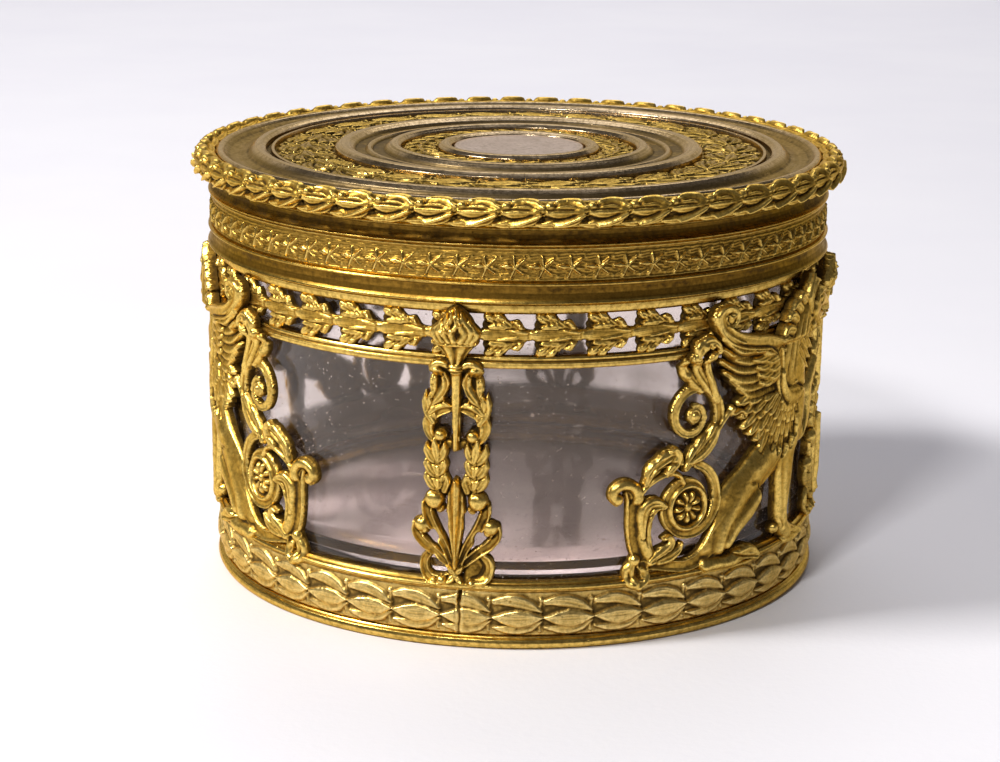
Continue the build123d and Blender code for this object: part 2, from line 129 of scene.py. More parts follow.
def arc(cu, cz, r0, a0, a1, r1=None, step=0.15):
    # points of an arc or a spiral arm, angles in degrees
    r1 = r0 if r1 is None else r1
    n = max(6, int(abs(math.radians(a1 - a0)) * max(r0, r1) / step))
    t = np.linspace(0, 1, n)
    a = np.radians(a0 + (a1 - a0) * t)
    r = r0 + (r1 - r0) * t
    return np.stack([cu + r * np.cos(a), cz + r * np.sin(a)], 1)


class Relief:
    def __init__(self, u0, u1, z0, z1, d):
        self.d = d
        self.u = np.arange(u0, u1 + d / 2, d)
        self.z = np.arange(z0, z1 + d / 2, d)
        self.U, self.Z = np.meshgrid(self.u, self.z)
        self.S = np.full(self.U.shape, -1.0)
        self.H = np.zeros(self.U.shape)

    def win(self, lo, hi):
        j0 = max(0, int((lo[0] - self.u[0]) / self.d))
        j1 = min(len(self.u), int((hi[0] - self.u[0]) / self.d) + 2)
        i0 = max(0, int((lo[1] - self.z[0]) / self.d))
        i1 = min(len(self.z), int((hi[1] - self.z[0]) / self.d) + 2)
        return slice(i0, max(i0, i1)), slice(j0, max(j0, j1))

    def field(self, P, pad):
        # distance to the polyline P, place along it (0..1), signed side distance
        lo = P.min(0) - pad
        hi = P.max(0) + pad
        w = self.win(lo, hi)
        U, Z = self.U[w], self.Z[w]
        D = np.full(U.shape, 99.0)
        T = np.zeros(U.shape)
        X = np.zeros(U.shape)
        L = np.r_[0, np.cumsum(np.hypot(*(P[1:] - P[:-1]).T))]
        tot = max(L[-1], 1e-6)
        oi, oj = w[0].start, w[1].start
        for k in range(len(P) - 1):
            a, b = P[k], P[k + 1]
            ab = b - a
            l2 = ab @ ab
            if l2 < 1e-12:
                continue
            ww = self.win(np.minimum(a, b) - pad, np.maximum(a, b) + pad)
            s = (slice(ww[0].start - oi, ww[0].stop - oi), slice(ww[1].start - oj, ww[1].stop - oj))
            u = U[s] - a[0]
            z = Z[s] - a[1]
            t = np.clip((u * ab[0] + z * ab[1]) / l2, 0, 1)
            du = u - t * ab[0]
            dz = z - t * ab[1]
            d = np.sqrt(du * du + dz * dz)
            m = d < D[s]
            side = (ab[0] * z - ab[1] * u) / math.sqrt(l2)
            D[s] = np.where(m, d, D[s])
            T[s] = np.where(m, (L[k] + t * (L[k + 1] - L[k])) / tot, T[s])
            X[s] = np.where(m, np.where(side >= 0, d, -d), X[s])
        return w, D, T, X, tot

    def put(self, w, s, h, mode="over", k=0.35):
        S, H = self.S[w], self.H[w]
        near = s > -1.6 * self.d
        if mode == "max":
            h2 = np.where(near, np.where(S > -1.6 * self.d, np.maximum(H, h), h), H)
        elif mode == "smax":
            x = np.clip(0.5 + 0.5 * (h - H) / k, 0, 1)
            sm = H * (1 - x) + h * x + k * x * (1 - x)
            h2 = np.where(near, np.where(S > -1.6 * self.d, sm, h), H)
        elif mode == "over":
            h2 = np.where(s > 0, h, np.where(near & (S <= 0), h, H))
        elif mode == "add":
            h2 = np.where(s > 0, H + h, H)
        self.H[w] = h2
        if mode != "add":
            self.S[w] = np.maximum(S, s)

    # ---- shapes
    def stroke(self, pts, width, h0=0.6, amp=0.8, mode="max", prof="round", k=0.35, step=0.12, cap=True, raw=False, slope=None):
        # width: half width, a number or a list spread along the stroke
        P = np.array(pts, float) if raw else spline(pts, step)
        wd = np.atleast_1d(np.array(width, float))
        w, D, T, X, tot = self.field(P, wd.max() + 0.4)
        W = np.interp(T, np.linspace(0, 1, len(wd)), wd)
        s = W - D
        x = np.clip(D / np.maximum(W, 1e-3), 0, 1)
        am = np.interp(T, np.linspace(0, 1, len(np.atleast_1d(amp))), np.atleast_1d(amp))
        hb = np.interp(T, np.linspace(0, 1, len(np.atleast_1d(h0))), np.atleast_1d(h0))
        if prof == "round":
            h = hb + am * np.sqrt(np.clip(1 - x * x, 0, 1))
        elif prof == "soft":
            h = hb + am * (1 - x * x)
        elif prof == "ridge":
            h = hb + am * (1 - x)
        elif prof == "edges":
            # a ribbon with a raised lip along both sides
            e = np.exp(-((x - 0.80) / 0.17) ** 2)
            h = hb + am * (0.42 * (1 - x * x) ** 0.5 + 0.62 * e)
        elif prof == "flute":
            h = hb + am * np.sqrt(np.clip(1 - x * x, 0, 1)) * (0.78 + 0.22 * np.cos(x * 9.4))
        elif prof == "channel":
            h = hb + am * (0.35 + 0.65 * x ** 2) * np.clip((1 - x) * 6, 0, 1) ** 0.5
        if slope is not None:
            h = h + slope * X / np.maximum(W, 1e-3)
        self.put(w, s, h, mode, k)

    def ball(self, u, z, r, h0=0.6, amp=None, mode="max", k=0.3):
        amp = r * 0.95 if amp is None else amp
        w = self.win((u - r - 0.4, z - r - 0.4), (u + r + 0.4, z + r + 0.4))
        D = np.hypot(self.U[w] - u, self.Z[w] - z)
        h = h0 + amp * np.sqrt(np.clip(1 - (D / r) ** 2, 0, 1))
        self.put(w, r - D, h, mode, k)

    def leaf(self, pts, width, h0=0.7, amp=0.7, lobes=0, lobe_d=0.25, veins=0.14, mode="over", mid=0.16, k=0.35, curl=0.0, raw=False, vphase=0.0):
        # a leaf with a middle vein, side veins and lobed edges
        P = np.array(pts, float) if raw else spline(pts, 0.12)
        wd = np.atleast_1d(np.array(width, float))
        w, D, T, X, tot = self.field(P, wd.max() * 1.25 + 0.4)
        W = np.interp(T, np.linspace(0, 1, len(wd)), wd)
        x = np.clip(D / np.maximum(W, 1e-3), 0, 1.4)
        n = max(lobes, 0)
        h = h0 + amp * np.sqrt(np.clip(1 - np.clip(x, 0, 1) ** 2, 0, 1))
        if n:
            ph = (T * n - 0.42 * x * n * np.mean(wd) / tot * 2.2 + vphase)
            lob = 0.5 - 0.5 * np.cos(2 * math.pi * ph)
            W = W * (1 - lobe_d * (1 - lob ** 0.6))
            g = np.cos(math.pi * (ph % 1.0)) ** 8
            h = h - veins * g * np.clip(x * 1.6, 0, 1) * np.clip((1.05 - x) * 3, 0, 1)
        h = h - mid * np.exp(-(X / 0.13) ** 2) * np.clip((1 - T) * 4, 0, 1)
        h = h + curl * X / np.maximum(W, 1e-3)
        self.put(w, W - D, h, mode, k)

    def poly(self, pts, h0=0.6, amp=1.0, edge=1.5, mode="smax", k=0.5, smooth=True, tilt=(0, 0), hole=False):
        P = spline(pts, 0.2, closed=True) if smooth else np.array(pts, float)
        Q = np.vstack([P, P[:1]])
        w, D, T, X, tot = self.field(Q, 0.6)
        lo, hi = P.min(0) - 0.6, P.max(0) + 0.6
        U, Z = self.U[w], self.Z[w]
        ins = np.zeros(U.shape, bool)
        for a, b in zip(P, np.roll(P, -1, 0)):
            if a[1] == b[1]:
                continue
            c = ((a[1] > Z) != (b[1] > Z)) & (U < (b[0] - a[0]) * (Z - a[1]) / (b[1] - a[1]) + a[0])
            ins ^= c
        if ins.any():
            big = ins & (D > 50)
            if big.any():
                # deep inside: distance beyond the search band
                D = np.where(big, np.hypot(U - P[:, 0].mean(), Z - P[:, 1].mean()) * 0 + 0.6, D)
            # full distance inside, by brute force on a coarse set
            ii = np.argwhere(ins)
            B = P[:: max(1, len(P) // 260)]
            pu = U[ins]
            pz = Z[ins]
            dd = np.full(pu.shape, 99.0)
            for b in B:
                dd = np.minimum(dd, np.hypot(pu - b[0], pz - b[1]))
            E = D[ins]
            D = D.copy()
            D[ins] = np.where(E < 0.55, E, dd)
        s = np.where(ins, D, -D)
        if hole:
            self.S[w] = np.minimum(self.S[w], -s)
            return
        x = np.clip(s / edge, 0, 1)
        h = h0 + amp * np.sqrt(np.clip(1 - (1 - x) ** 2, 0, 1))
        h = h + tilt[0] * (U - P[:, 0].mean()) + tilt[1] * (Z - P[:, 1].mean())
        self.put(w, s, h, mode, k)

    def groove(self, pts, wd=0.14, depth=0.25, step=0.12, raw=False, lip=0.0, taper=True):
        P = np.array(pts, float) if raw else spline(pts, step)
        w, D, T, X, tot = self.field(P, wd * 3.5)
        f = np.exp(-(D / wd) ** 2)
        if taper:
            f = f * np.clip(np.minimum(T, 1 - T) * 6 + 0.25, 0, 1)
        g = -depth * f + lip * np.exp(-((D - 1.9 * wd) / (0.8 * wd)) ** 2)
        self.H[w] = np.where(self.S[w] > 0, self.H[w] + g, self.H[w])

    def ridge(self, pts, wd=0.14, amp=0.2, step=0.12, raw=False):
        P = np.array(pts, float) if raw else spline(pts, step)
        w, D, T, X, tot = self.field(P, wd * 3.5)
        self.H[w] = np.where(self.S[w] > 0, self.H[w] + amp * np.exp(-(D / wd) ** 2), self.H[w])

    def dimple(self, u, z, r, depth):
        w = self.win((u - 3 * r, z - 3 * r), (u + 3 * r, z + 3 * r))
        D = np.hypot(self.U[w] - u, self.Z[w] - z)
        self.H[w] -= depth * np.exp(-(D / r) ** 2)

    def cut(self, pts, smooth=True):
        self.poly(pts, hole=True, smooth=smooth)

    def rosette(self, u, z, r, petals=9, h0=0.9, amp=0.5, ang=0.0, button=0.5):
        w = self.win((u - r - 0.4, z - r - 0.4), (u + r + 0.4, z + r + 0.4))
        du = self.U[w] - u
        dz = self.Z[w] - z
        R = np.hypot(du, dz)
        A = np.arctan2(dz, du) + ang
        c = np.cos(A * petals)
        edge = r * (0.80 + 0.20 * (0.5 + 0.5 * c) ** 0.5)
        x = np.clip(R / edge, 0, 1)
        cup = np.sin(np.clip(x, 0, 1) ** 1.5 * math.pi) ** 0.7
        h = h0 - 0.25 + (amp + 0.25) * cup * (0.5 + 0.5 * c) ** 0.45
        self.put(w, edge - R, h, "over")
        self.ball(u, z, button, h0 + 0.1, 0.55, "max")

    def finish(self, soft=0.55, grain=0.03, seed=1, edge=0.0):
        d = self.d
        if edge:
            x = np.clip(self.S / edge, 0, 1)
            self.H = self.H * (0.36 + 0.64 * np.sqrt(1 - (1 - x) ** 2))
        M = (self.S > -2 * d).astype(float)
        Hs = blur(self.H * M, soft) / np.maximum(blur(M, soft), 1e-3)
        self.H = np.where(M > 0, Hs, 0)
        n = vnoise(self.U / 0.9 + 40, self.Z / 0.9 + 40, seed) - 0.5
        n2 = vnoise(self.U / 0.32 + 40, self.Z / 0.32 + 40, seed + 1) - 0.5
        self.H = self.H + grain * (n * 1.6 + n2)
        self.S = blur(self.S, 0.5)
        # C, how sunk each point is, drives the patina and painted shade in the hollows and the wear on high points
        Hm = np.where(self.S > 0, self.H, 0.35)
        c1 = blur(Hm, 0.30 / d) - Hm
        c2 = blur(Hm, 0.9 / d) - Hm
        self.C = np.clip(0.5 + 1.6 * c1 + 0.62 * c2, 0, 1)


def contour_mesh(S, H, C, X0):
    """Front faces of the grid where S > 0, clipped at S = 0, and the rim segments.
    Returns P (n,2 grid coordinates i,j), h, c, quads, tris, rim pairs."""
    ni, nj = S.shape
    M = S > 0
    vid = np.full(S.shape, -1, np.int64)
    ii, jj = np.nonzero(M)
    vid[ii, jj] = np.arange(len(ii))
    pts = [np.stack([ii, jj], 1).astype(float)]
    hs = [H[ii, jj]]
    cs = [C[ii, jj]]
    n = len(ii)
    # horizontal edges (i,j)-(i,j+1)
    he = np.full((ni, nj - 1), -1, np.int64)
    a, b = np.nonzero(M[:, :-1] != M[:, 1:])
    sa, sb = S[a, b], S[a, b + 1]
    t = np.clip(sa / (sa - sb + 1e-12), 0.02, 0.98)
    he[a, b] = n + np.arange(len(a))
    n += len(a)
    pts.append(np.stack([a, b + t], 1))
    hin = np.where(M[a, b], H[a, b], H[a, b + 1])
    hs.append(hin)
    cs.append(np.where(M[a, b], C[a, b], C[a, b + 1]))
    ve = np.full((ni - 1, nj), -1, np.int64)
    a, b = np.nonzero(M[:-1, :] != M[1:, :])
    sa, sb = S[a, b], S[a + 1, b]
    t = np.clip(sa / (sa - sb + 1e-12), 0.02, 0.98)
    ve[a, b] = n + np.arange(len(a))
    n += len(a)
    pts.append(np.stack([a + t, b], 1))
    hs.append(np.where(M[a, b], H[a, b], H[a + 1, b]))
    cs.append(np.where(M[a, b], C[a, b], C[a + 1, b]))
    code = M[:-1, :-1] * 1 + M[:-1, 1:] * 2 + M[1:, 1:] * 4 + M[1:, :-1] * 8
    # corners 0:(i,j) 1:(i,j+1) 2:(i+1,j+1) 3:(i+1,j); edges 4:0-1 5:1-2 6:2-3 7:3-0
    look = {
        1: [(0, 4, 7)], 2: [(4, 1, 5)], 4: [(5, 2, 6)], 8: [(7, 6, 3)],
        3: [(0, 1, 5, 7)], 6: [(4, 1, 2, 6)], 12: [(7, 5, 2, 3)], 9: [(0, 4, 6, 3)],
        7: [(0, 1, 2, 6), (0, 6, 7)], 11: [(0, 1, 5, 3), (3, 5, 6)],
        13: [(0, 4, 2, 3), (4, 5, 2)], 14: [(4, 1, 2, 3), (4, 3, 7)],
        15: [(0, 1, 2, 3)], 5: [(0, 4, 7), (5, 2, 6)], 10: [(4, 1, 5), (7, 6, 3)],
    }
    rims = {1: [(4, 7)], 2: [(5, 4)], 4: [(6, 5)], 8: [(7, 6)], 3: [(5, 7)], 6: [(6, 4)], 12: [(7, 5)], 9: [(4, 6)],
            7: [(6, 7)], 11: [(5, 6)], 13: [(4, 5)], 14: [(7, 4)], 5: [(4, 7), (6, 5)], 10: [(5, 4), (7, 6)]}
    quads, tris, rim = [], [], []
    for c, polys in look.items():
        a, b = np.nonzero(code == c)
        if not len(a):
            continue
        loc = [vid[a, b], vid[a, b + 1], vid[a + 1, b + 1], vid[a + 1, b], he[a, b], ve[a, b + 1], he[a + 1, b], ve[a, b]]
        for p in polys:
            q = np.stack([loc[x] for x in p], 1)
            (quads if len(p) == 4 else tris).append(q)
        for r in rims.get(c, []):
            rim.append(np.stack([loc[x] for x in r], 1))
    P = np.vstack(pts)
    e4 = np.zeros((0, 4), np.int64)
    e3 = np.zeros((0, 3), np.int64)
    return (P, np.concatenate(hs), np.concatenate(cs), np.vstack(quads) if quads else e4,
            np.vstack(tris) if tris else e3, np.vstack(rim) if rim else np.zeros((0, 2), np.int64))


def keep_big(S, min_cells=60):
    # nothing: islands are left as drawn
    return S
# ---------------------------------------------------------------- the griffin with its tail scrolls
# u from the middle of the front torch, z from the table, the griffin facing the side torch at u = 72.3

def draw_griffin(d=0.12):
    g = Relief(18.5, 71.5, 9.0, 49.8, d)

    # tail: bottom ribbon that ties the foot scroll to the body
    g.stroke([(26.0, 12.9), (28.0, 12.6), (30.4, 12.0), (32.7, 11.7), (34.9, 12.1), (36.6, 13.2), (38.6, 15.2), (40.5, 17)], [0.75, 0.85, 0.9, 1.1, 1.5, 2.0], 0.5, 0.9, prof="edges")
    # outer stem, rising from the foot to the outer volute
    g.stroke([(26.6, 11.4), (26.0, 13.2), (25.1, 15.6), (24.7, 18.2), (24.7, 20.6), (24.7, 22.2), (24.4, 23.4)], [0.7, 0.8, 0.95, 1.0, 1.05, 1.1, 1.1], 0.5, 0.95, prof="edges")
    g.stroke([(25.3, 22.4), (24.9, 23.6), (24.0, 24.3), (22.8, 24.4), (21.8, 23.8), (21.6, 22.9), (22.1, 22.3)], [1.0, 1.05, 1.0, 0.95, 0.85, 0.75, 0.6], 0.6, 1.1, prof="round")
    g.ball(22.25, 22.55, 0.95, 0.8, 0.95)
    g.ball(25.1, 24.05, 0.62, 0.8, 0.7)
    g.ball(24.0, 24.45, 0.55, 0.9, 0.6)
    g.groove([(23.9, 21.4), (24.6, 22.6), (24.0, 23.6), (22.9, 23.7), (22.4, 23.2)], 0.16, 0.45)
    # foot
    g.leaf([(24.9, 13.7), (24.3, 12.2), (24.5, 10.9), (25.6, 10.0)], [0.55, 1.0, 1.1, 0.7], 0.6, 0.8, lobes=0, mid=0.2)
    g.ball(24.9, 10.75, 0.85, 0.9, 0.9)
    g.ball(25.0, 13.75, 0.82, 0.9, 0.8)
    g.stroke([(25.6, 10.1), (26.6, 10.6), (26.7, 11.6), (26.0, 12.4)], [0.6, 0.6, 0.6, 0.5], 0.6, 0.7)
    g.groove([(24.0, 12.4), (24.3, 11.2), (25.0, 10.5)], 0.13, 0.3)

    # inner stem leaf beside the spiral
    g.leaf([(28.6, 13.0), (27.2, 14.2), (26.5, 16.2), (26.4, 18.2), (27.0, 20.0), (28.2, 20.7), (29.1, 20.5)], [0.6, 0.95, 1.0, 1.05, 1.15, 0.9, 0.35], 0.7, 0.85, lobes=0, mid=0.0)
    g.leaf([(26.2, 17.0), (26.0, 19.0), (26.3, 20.8), (27.2, 21.5), (28.4, 21.3), (29.3, 20.7)], [0.5, 0.7, 0.9, 0.95, 0.8, 0.3], 0.95, 0.7, mid=0.2)
    g.groove([(26.7, 15.6), (26.5, 17.6), (26.9, 19.4), (27.9, 20.3)], 0.14, 0.4)
    g.groove([(27.6, 14.6), (27.0, 16.4), (27.1, 18.2), (27.9, 19.4)], 0.12, 0.25)
    # lower leaf that curls under the spiral
    g.leaf([(27.3, 13.2), (28.6, 13.9), (29.7, 14.6), (30.3, 15.5), (29.9, 16.2), (29.2, 16.1)], [0.7, 1.1, 1.15, 0.85, 0.6, 0.35], 0.9, 0.8, lobes=0, mid=0.25)
    g.leaf([(28.6, 13.0), (30.3, 13.4), (31.6, 14.2), (32.2, 15.0)], [0.6, 0.95, 0.8, 0.25], 0.9, 0.6, mid=0.2)

    # lower spiral with the rosette
    sp = np.vstack([arc(33.4, 20.6, 5.3, 78, 0, 4.75), arc(33.4, 20.6, 4.75, 0, -85, 4.4), arc(33.2, 20.3, 4.1, -85, -180, 3.85), arc(33.1, 20.2, 3.8, -180, -262, 3.5), arc(33.0, 20.1, 3.5, -262, -350, 2.95)])
    sp = sp[::2]
    g.stroke(sp, [0.62, 0.72, 0.78, 0.8, 0.8, 0.78, 0.72, 0.6, 0.5], 0.62, 0.95, prof="edges", raw=True)
    # dished back of the rosette
    w = g.win((29.4, 16.4), (36.6, 23.6))
    R = np.hypot(g.U[w] - 33.0, g.Z[w] - 19.95)
    g.put(w, 3.25 - R, 0.55 + 0.10 * np.clip(R / 3.2, 0, 1) ** 2, "max")
    ring = arc(33.0, 19.95, 3.0, 0, 360)
    g.stroke(ring, 0.42, 0.75, 0.75, raw=True, prof="round")
    g.rosette(33.0, 19.95, 2.45, 9, 0.85, 0.75, 0.25, 0.62)
    # ribbon from the outer volute over the spiral
    g.stroke([(25.6, 22.9), (26.6, 24.0), (28.4, 24.9), (30.3, 25.1), (31.5, 24.5), (32.1, 23.5)], [0.5, 0.5, 0.5, 0.5, 0.45, 0.35], 0.75, 0.8, prof="round")
    # leaf over the spiral
    g.leaf([(26.3, 24.3), (27.2, 25.9), (28.6, 27.0), (30.1, 27.6), (31.2, 27.2), (31.6, 26.3)], [0.5, 0.95, 1.2, 1.2, 0.95, 0.4], 0.8, 0.85, lobes=3, lobe_d=0.18, mid=0.3)
    g.leaf([(29.6, 25.6), (30.6, 26.6), (31.0, 27.6), (30.4, 28.5), (29.7, 28.3)], [0.7, 0.9, 0.8, 0.55, 0.3], 1.1, 0.7, mid=0.15)
    g.groove([(27.0, 24.9), (28.2, 26.0), (29.6, 26.6), (30.8, 26.6)], 0.14, 0.4)
    g.groove([(26.6, 25.2), (27.6, 26.6), (28.8, 27.4)], 0.12, 0.25)

    # stem between the two scrolls, a rolled leaf
    g.leaf([(32.4, 25.5), (33.4, 26.6), (34.6, 27.7), (35.6, 28.6), (36.6, 29.4), (37.3, 30.4)], [0.6, 1.15, 1.45, 1.5, 1.3, 0.9], 0.7, 0.9, lobes=3, lobe_d=0.15, mid=0.3)
    g.leaf([(33.2, 26.3), (34.9, 26.9), (36.4, 28.0), (37.3, 29.2), (37.8, 30.4)], [0.4, 0.75, 0.85, 0.8, 0.45], 1.0, 0.7, mid=0.15)
    g.groove([(33.2, 26.6), (34.6, 28.2), (35.8, 29.6), (36.5, 30.6)], 0.13, 0.3)
    # upper scroll
    us = np.vstack([arc(33.9, 32.6, 4.5, -38, 20, 4.25), arc(33.85, 32.7, 4.15, 20, 95, 3.75), arc(33.75, 32.75, 3.7, 95, 180, 3.35), arc(33.6, 32.75, 3.2, 180, 262, 2.6), arc(33.6, 32.7, 2.55, 262, 350, 1.85), arc(33.65, 32.65, 1.8, -10, 90, 1.3)])
    g.stroke(us[::2], [0.8, 0.9, 0.85, 0.75, 0.7, 0.68, 0.62, 0.6, 0.52, 0.45, 0.4], 0.6, 0.95, prof="edges", raw=True)
    g.ball(33.7, 32.6, 1.15, 0.75, 0.75)
    g.groove(arc(33.7, 32.6, 0.66, 0, 330), 0.12, 0.34, raw=True, taper=False)
    # tendril to the right
    g.stroke([(36.6, 28.8), (37.9, 30.0), (38.9, 31.1), (39.8, 32.0), (40.6, 32.5)], [0.55, 0.5, 0.48, 0.48, 0.45], 0.7, 0.75)
    g.ball(40.7, 32.55, 0.62, 0.95, 0.65)
    g.stroke([(40.4, 32.0), (41.3, 31.8), (42.3, 32.05), (43.2, 31.8), (43.6, 31.3), (43.2, 30.9), (42.5, 31.1)], [0.4, 0.4, 0.42, 0.42, 0.4, 0.35, 0.3], 0.75, 0.7)
    g.ball(42.75, 31.35, 0.42, 0.95, 0.5)

    # calyx that joins the scroll to the wing tip and the lower rail
    g.leaf([(34.8, 36.2), (33.6, 37.4), (32.5, 38.6), (31.9, 39.6), (32.0, 40.6)], [0.8, 1.15, 1.15, 0.95, 0.5], 0.6, 0.8, lobes=3, lobe_d=0.22, mid=0.2)
    g.leaf([(36.6, 35.3), (35.6, 36.7), (34.6, 38.1), (34.0, 39.4), (33.9, 40.6)], [0.6, 0.9, 0.95, 0.95, 0.6], 0.9, 0.75, mid=0.25)
    g.leaf([(37.5, 34.3), (36.7, 36.3), (36.0, 38.2), (35.9, 40.0), (36.6, 41.2)], [0.55, 0.72, 0.75, 0.7, 0.5], 0.95, 0.75, mid=0.12)
    g.stroke([(37.3, 35.2), (36.3, 37.1), (35.6, 38.7), (35.6, 40.2), (36.1, 41.1)], [0.3, 0.28, 0.28, 0.28, 0.3], 1.35, 0.4)
    g.ball(33.25, 40.8, 0.82, 1.0, 0.75)
    g.ball(34.15, 39.75, 0.6, 1.1, 0.65)
    g.ball(32.45, 38.3, 0.55, 1.0, 0.6)
    g.leaf([(33.6, 40.9), (34.3, 42.2), (35.3, 43.0), (36.4, 43.0), (37.3, 42.2), (37.6, 41.5)], [0.7, 1.05, 1.0, 0.9, 0.75, 0.35], 0.9, 0.8, lobes=3, lobe_d=0.22, mid=0.2)
    g.ball(35.0, 42.4, 0.72, 1.2, 0.65)
    g.ball(37.35, 41.4, 0.5, 1.1, 0.5)
    g.ball(36.2, 42.3, 0.42, 1.3, 0.5)

    # ---- body
    k = 0.55
    # far wing and neck back are one mass behind the mane
    g.poly([(49.5, 26.5), (47.0, 27.5), (44.8, 29.6), (44.2, 31.0), (44.6, 32.6), (46.0, 34.0), (48.5, 36.5), (50.5, 38.5), (50.2, 40.4), (51.1, 42.3), (52.3, 43.7), (53.7, 44.9), (55.6, 44.9), (57.0, 45.9), (59.5, 46.9), (62.6, 45.6), (64.6, 42.5), (63.9, 39.2), (62.4, 35.6), (60.9, 33.2), (60.7, 30.4), (60.3, 27.3), (58.5, 24.5), (56.9, 22.4), (53.0, 21.6), (51.0, 23.6)], 0.6, 0.7, 1.6, mode="max")
    # haunch
    g.poly([(38.2, 20.3), (39.9, 21.8), (42.3, 23.3), (44.6, 24.7), (46.1, 25.9), (48.6, 27.3), (52.0, 27.0), (54.0, 24.8), (53.2, 22.0), (51.3, 21.1), (49.4, 20.3), (47.4, 19.6), (46.8, 18.5), (45.8, 17.0), (43.7, 15.6), (41.8, 14.2), (40.7, 12.9), (39.9, 12.0), (37.0, 12.0), (35.4, 12.9), (36.8, 15.6), (38.2, 18.0)], 0.6, 0.9, 2.4, mode="smax", k=k)
    g.stroke([(47.5, 23.4), (44.6, 21.2), (41.8, 18.6), (39.6, 15.6), (38.6, 13.2)], [2.9, 3.0, 2.6, 2.0, 1.3], 0.85, 1.35, mode="smax", k=k, prof="soft")
    g.stroke([(46.2, 19.2), (44.2, 17.5), (41.9, 16.0), (40.0, 13.8)], [1.2, 1.5, 1.4, 1.0], 1.2, 1.25, mode="smax", k=0.4)
    # belly and flank
    g.stroke([(46.0, 23.0), (50.0, 24.6), (54.5, 26.2), (57.4, 28.6)], [2.2, 2.9, 3.1, 2.6], 1.0, 1.25, mode="smax", k=k, prof="soft")
    # chest and shoulder
    g.stroke([(55.8, 25.2), (57.2, 28.2), (57.6, 31.2), (57.2, 34.0), (57.4, 37.5)], [2.6, 3.1, 3.2, 3.0, 2.8], 1.0, 1.45, mode="smax", k=k, prof="soft")
    # hind foot along the ground
    g.stroke([(36.2, 11.2), (38.4, 11.2), (41.0, 11.0), (43.6, 11.4), (45.4, 11.1), (46.4, 10.5)], [1.0, 1.05, 1.0, 1.15, 1.15, 0.8], 0.7, 1.15, mode="smax", k=0.3)
    g.stroke([(43.0, 11.9), (44.6, 12.0), (46.0, 11.6), (46.8, 10.9)], [0.5, 0.62, 0.6, 0.4], 1.2, 0.8, mode="smax", k=0.2)
    g.groove([(41.3, 12.0), (43.2, 11.2), (45.2, 10.8), (46.6, 10.6)], 0.13, 0.45)
    g.groove([(42.2, 11.0), (44.2, 10.4), (45.6, 10.1)], 0.11, 0.3)
    g.groove([(38.2, 12.2), (40.0, 11.9), (41.4, 12.2)], 0.16, 0.5)
    g.stroke([(36.0, 10.2), (41.0, 9.9), (46.0, 9.8)], 0.42, 0.6, 0.3, mode="max")
    # standing foreleg
    g.stroke([(54.4, 25.2), (54.3, 22.0), (53.9, 18.6), (53.5, 15.6), (54.0, 13.2), (55.4, 12.0)], [2.6, 2.5, 2.1, 1.55, 1.35, 1.3], 0.85, 1.45, mode="smax", k=k)
    g.stroke([(54.6, 12.4), (56.4, 11.7), (58.4, 11.1), (60.2, 10.7)], [1.3, 1.15, 0.9, 0.6], 0.8, 1.1, mode="smax", k=0.3)
    g.stroke([(55.0, 10.8), (57.0, 10.4), (59.4, 10.3)], [0.9, 0.8, 0.5], 0.8, 0.7, mode="smax", k=0.3)
    g.ball(52.2, 13.0, 0.85, 0.9, 0.8, mode="smax", k=0.2)
    g.groove([(56.0, 12.4), (57.6, 11.7), (59.6, 11.2)], 0.12, 0.3)
    g.groove([(56.2, 11.3), (58.0, 10.9), (60.0, 10.6)], 0.12, 0.3)
    g.groove([(52.6, 14.6), (53.2, 13.6), (53.4, 12.6)], 0.14, 0.3)
    g.groove([(52.9, 23.0), (52.8, 20.0), (52.9, 17.0), (53.1, 14.6)], 0.35, 0.22)
    # raised foreleg, bent up to the torch
    g.stroke([(58.0, 25.6), (60.4, 25.6), (62.2, 27.2), (62.9, 29.6), (63.1, 31.4), (64.4, 33.0), (66.6, 34.4)], [1.6, 1.5, 1.5, 1.45, 1.35, 1.15, 0.9], 0.85, 1.1, mode="smax", k=0.3)
    g.stroke([(65.6, 33.6), (67.2, 34.8), (68.4, 35.4)], [0.95, 0.8, 0.5], 0.9, 0.9, mode="smax", k=0.3)
    g.groove([(60.6, 33.0), (61.2, 30.2), (60.9, 27.6), (59.6, 25.0)], 0.22, 0.9)

    # ---- shoulder feathers: rows of small scales fanning down and left from the shoulder
    C = np.array([53.4, 35.6])
    for r, a0, a1, n, ln, wd, hb in ((9.0, 192, 274, 10, 3.3, 1.02, 1.20), (7.0, 196, 282, 10, 3.0, 0.90, 1.50), (5.2, 204, 294, 9, 2.6, 0.80, 1.80)):
        for i in range(n):
            a = math.radians(a0 + (a1 - a0) * i / (n - 1))
            e = np.array([math.cos(a), math.sin(a)])
            st = C + e * (r - 0.9)
            stretch = 1.0 + 0.25 * math.sin(i * 2.3 + r)
            en = C + e * (r + ln * 0.72 * stretch)
            g.leaf([tuple(st), tuple((st + en) / 2), tuple(en)], [wd * 0.60, wd * 0.82, wd * 0.80, wd * 0.42], hb, 0.38, mid=0.14, mode="over", curl=0.10)
    # small breast scales
    for r, a0, a1, n in ((4.1, 245, 318, 8), (3.0, 240, 315, 6)):
        for i in range(n):
            a = math.radians(a0 + (a1 - a0) * i / (n - 1))
            e = np.array([math.cos(a), math.sin(a)])
            st = C + e * (r - 0.5)
            en = C + e * (r + 1.25)
            g.leaf([tuple(st), tuple(en)], [0.35, 0.5, 0.3], 2.15, 0.24, mid=0.12, mode="over")

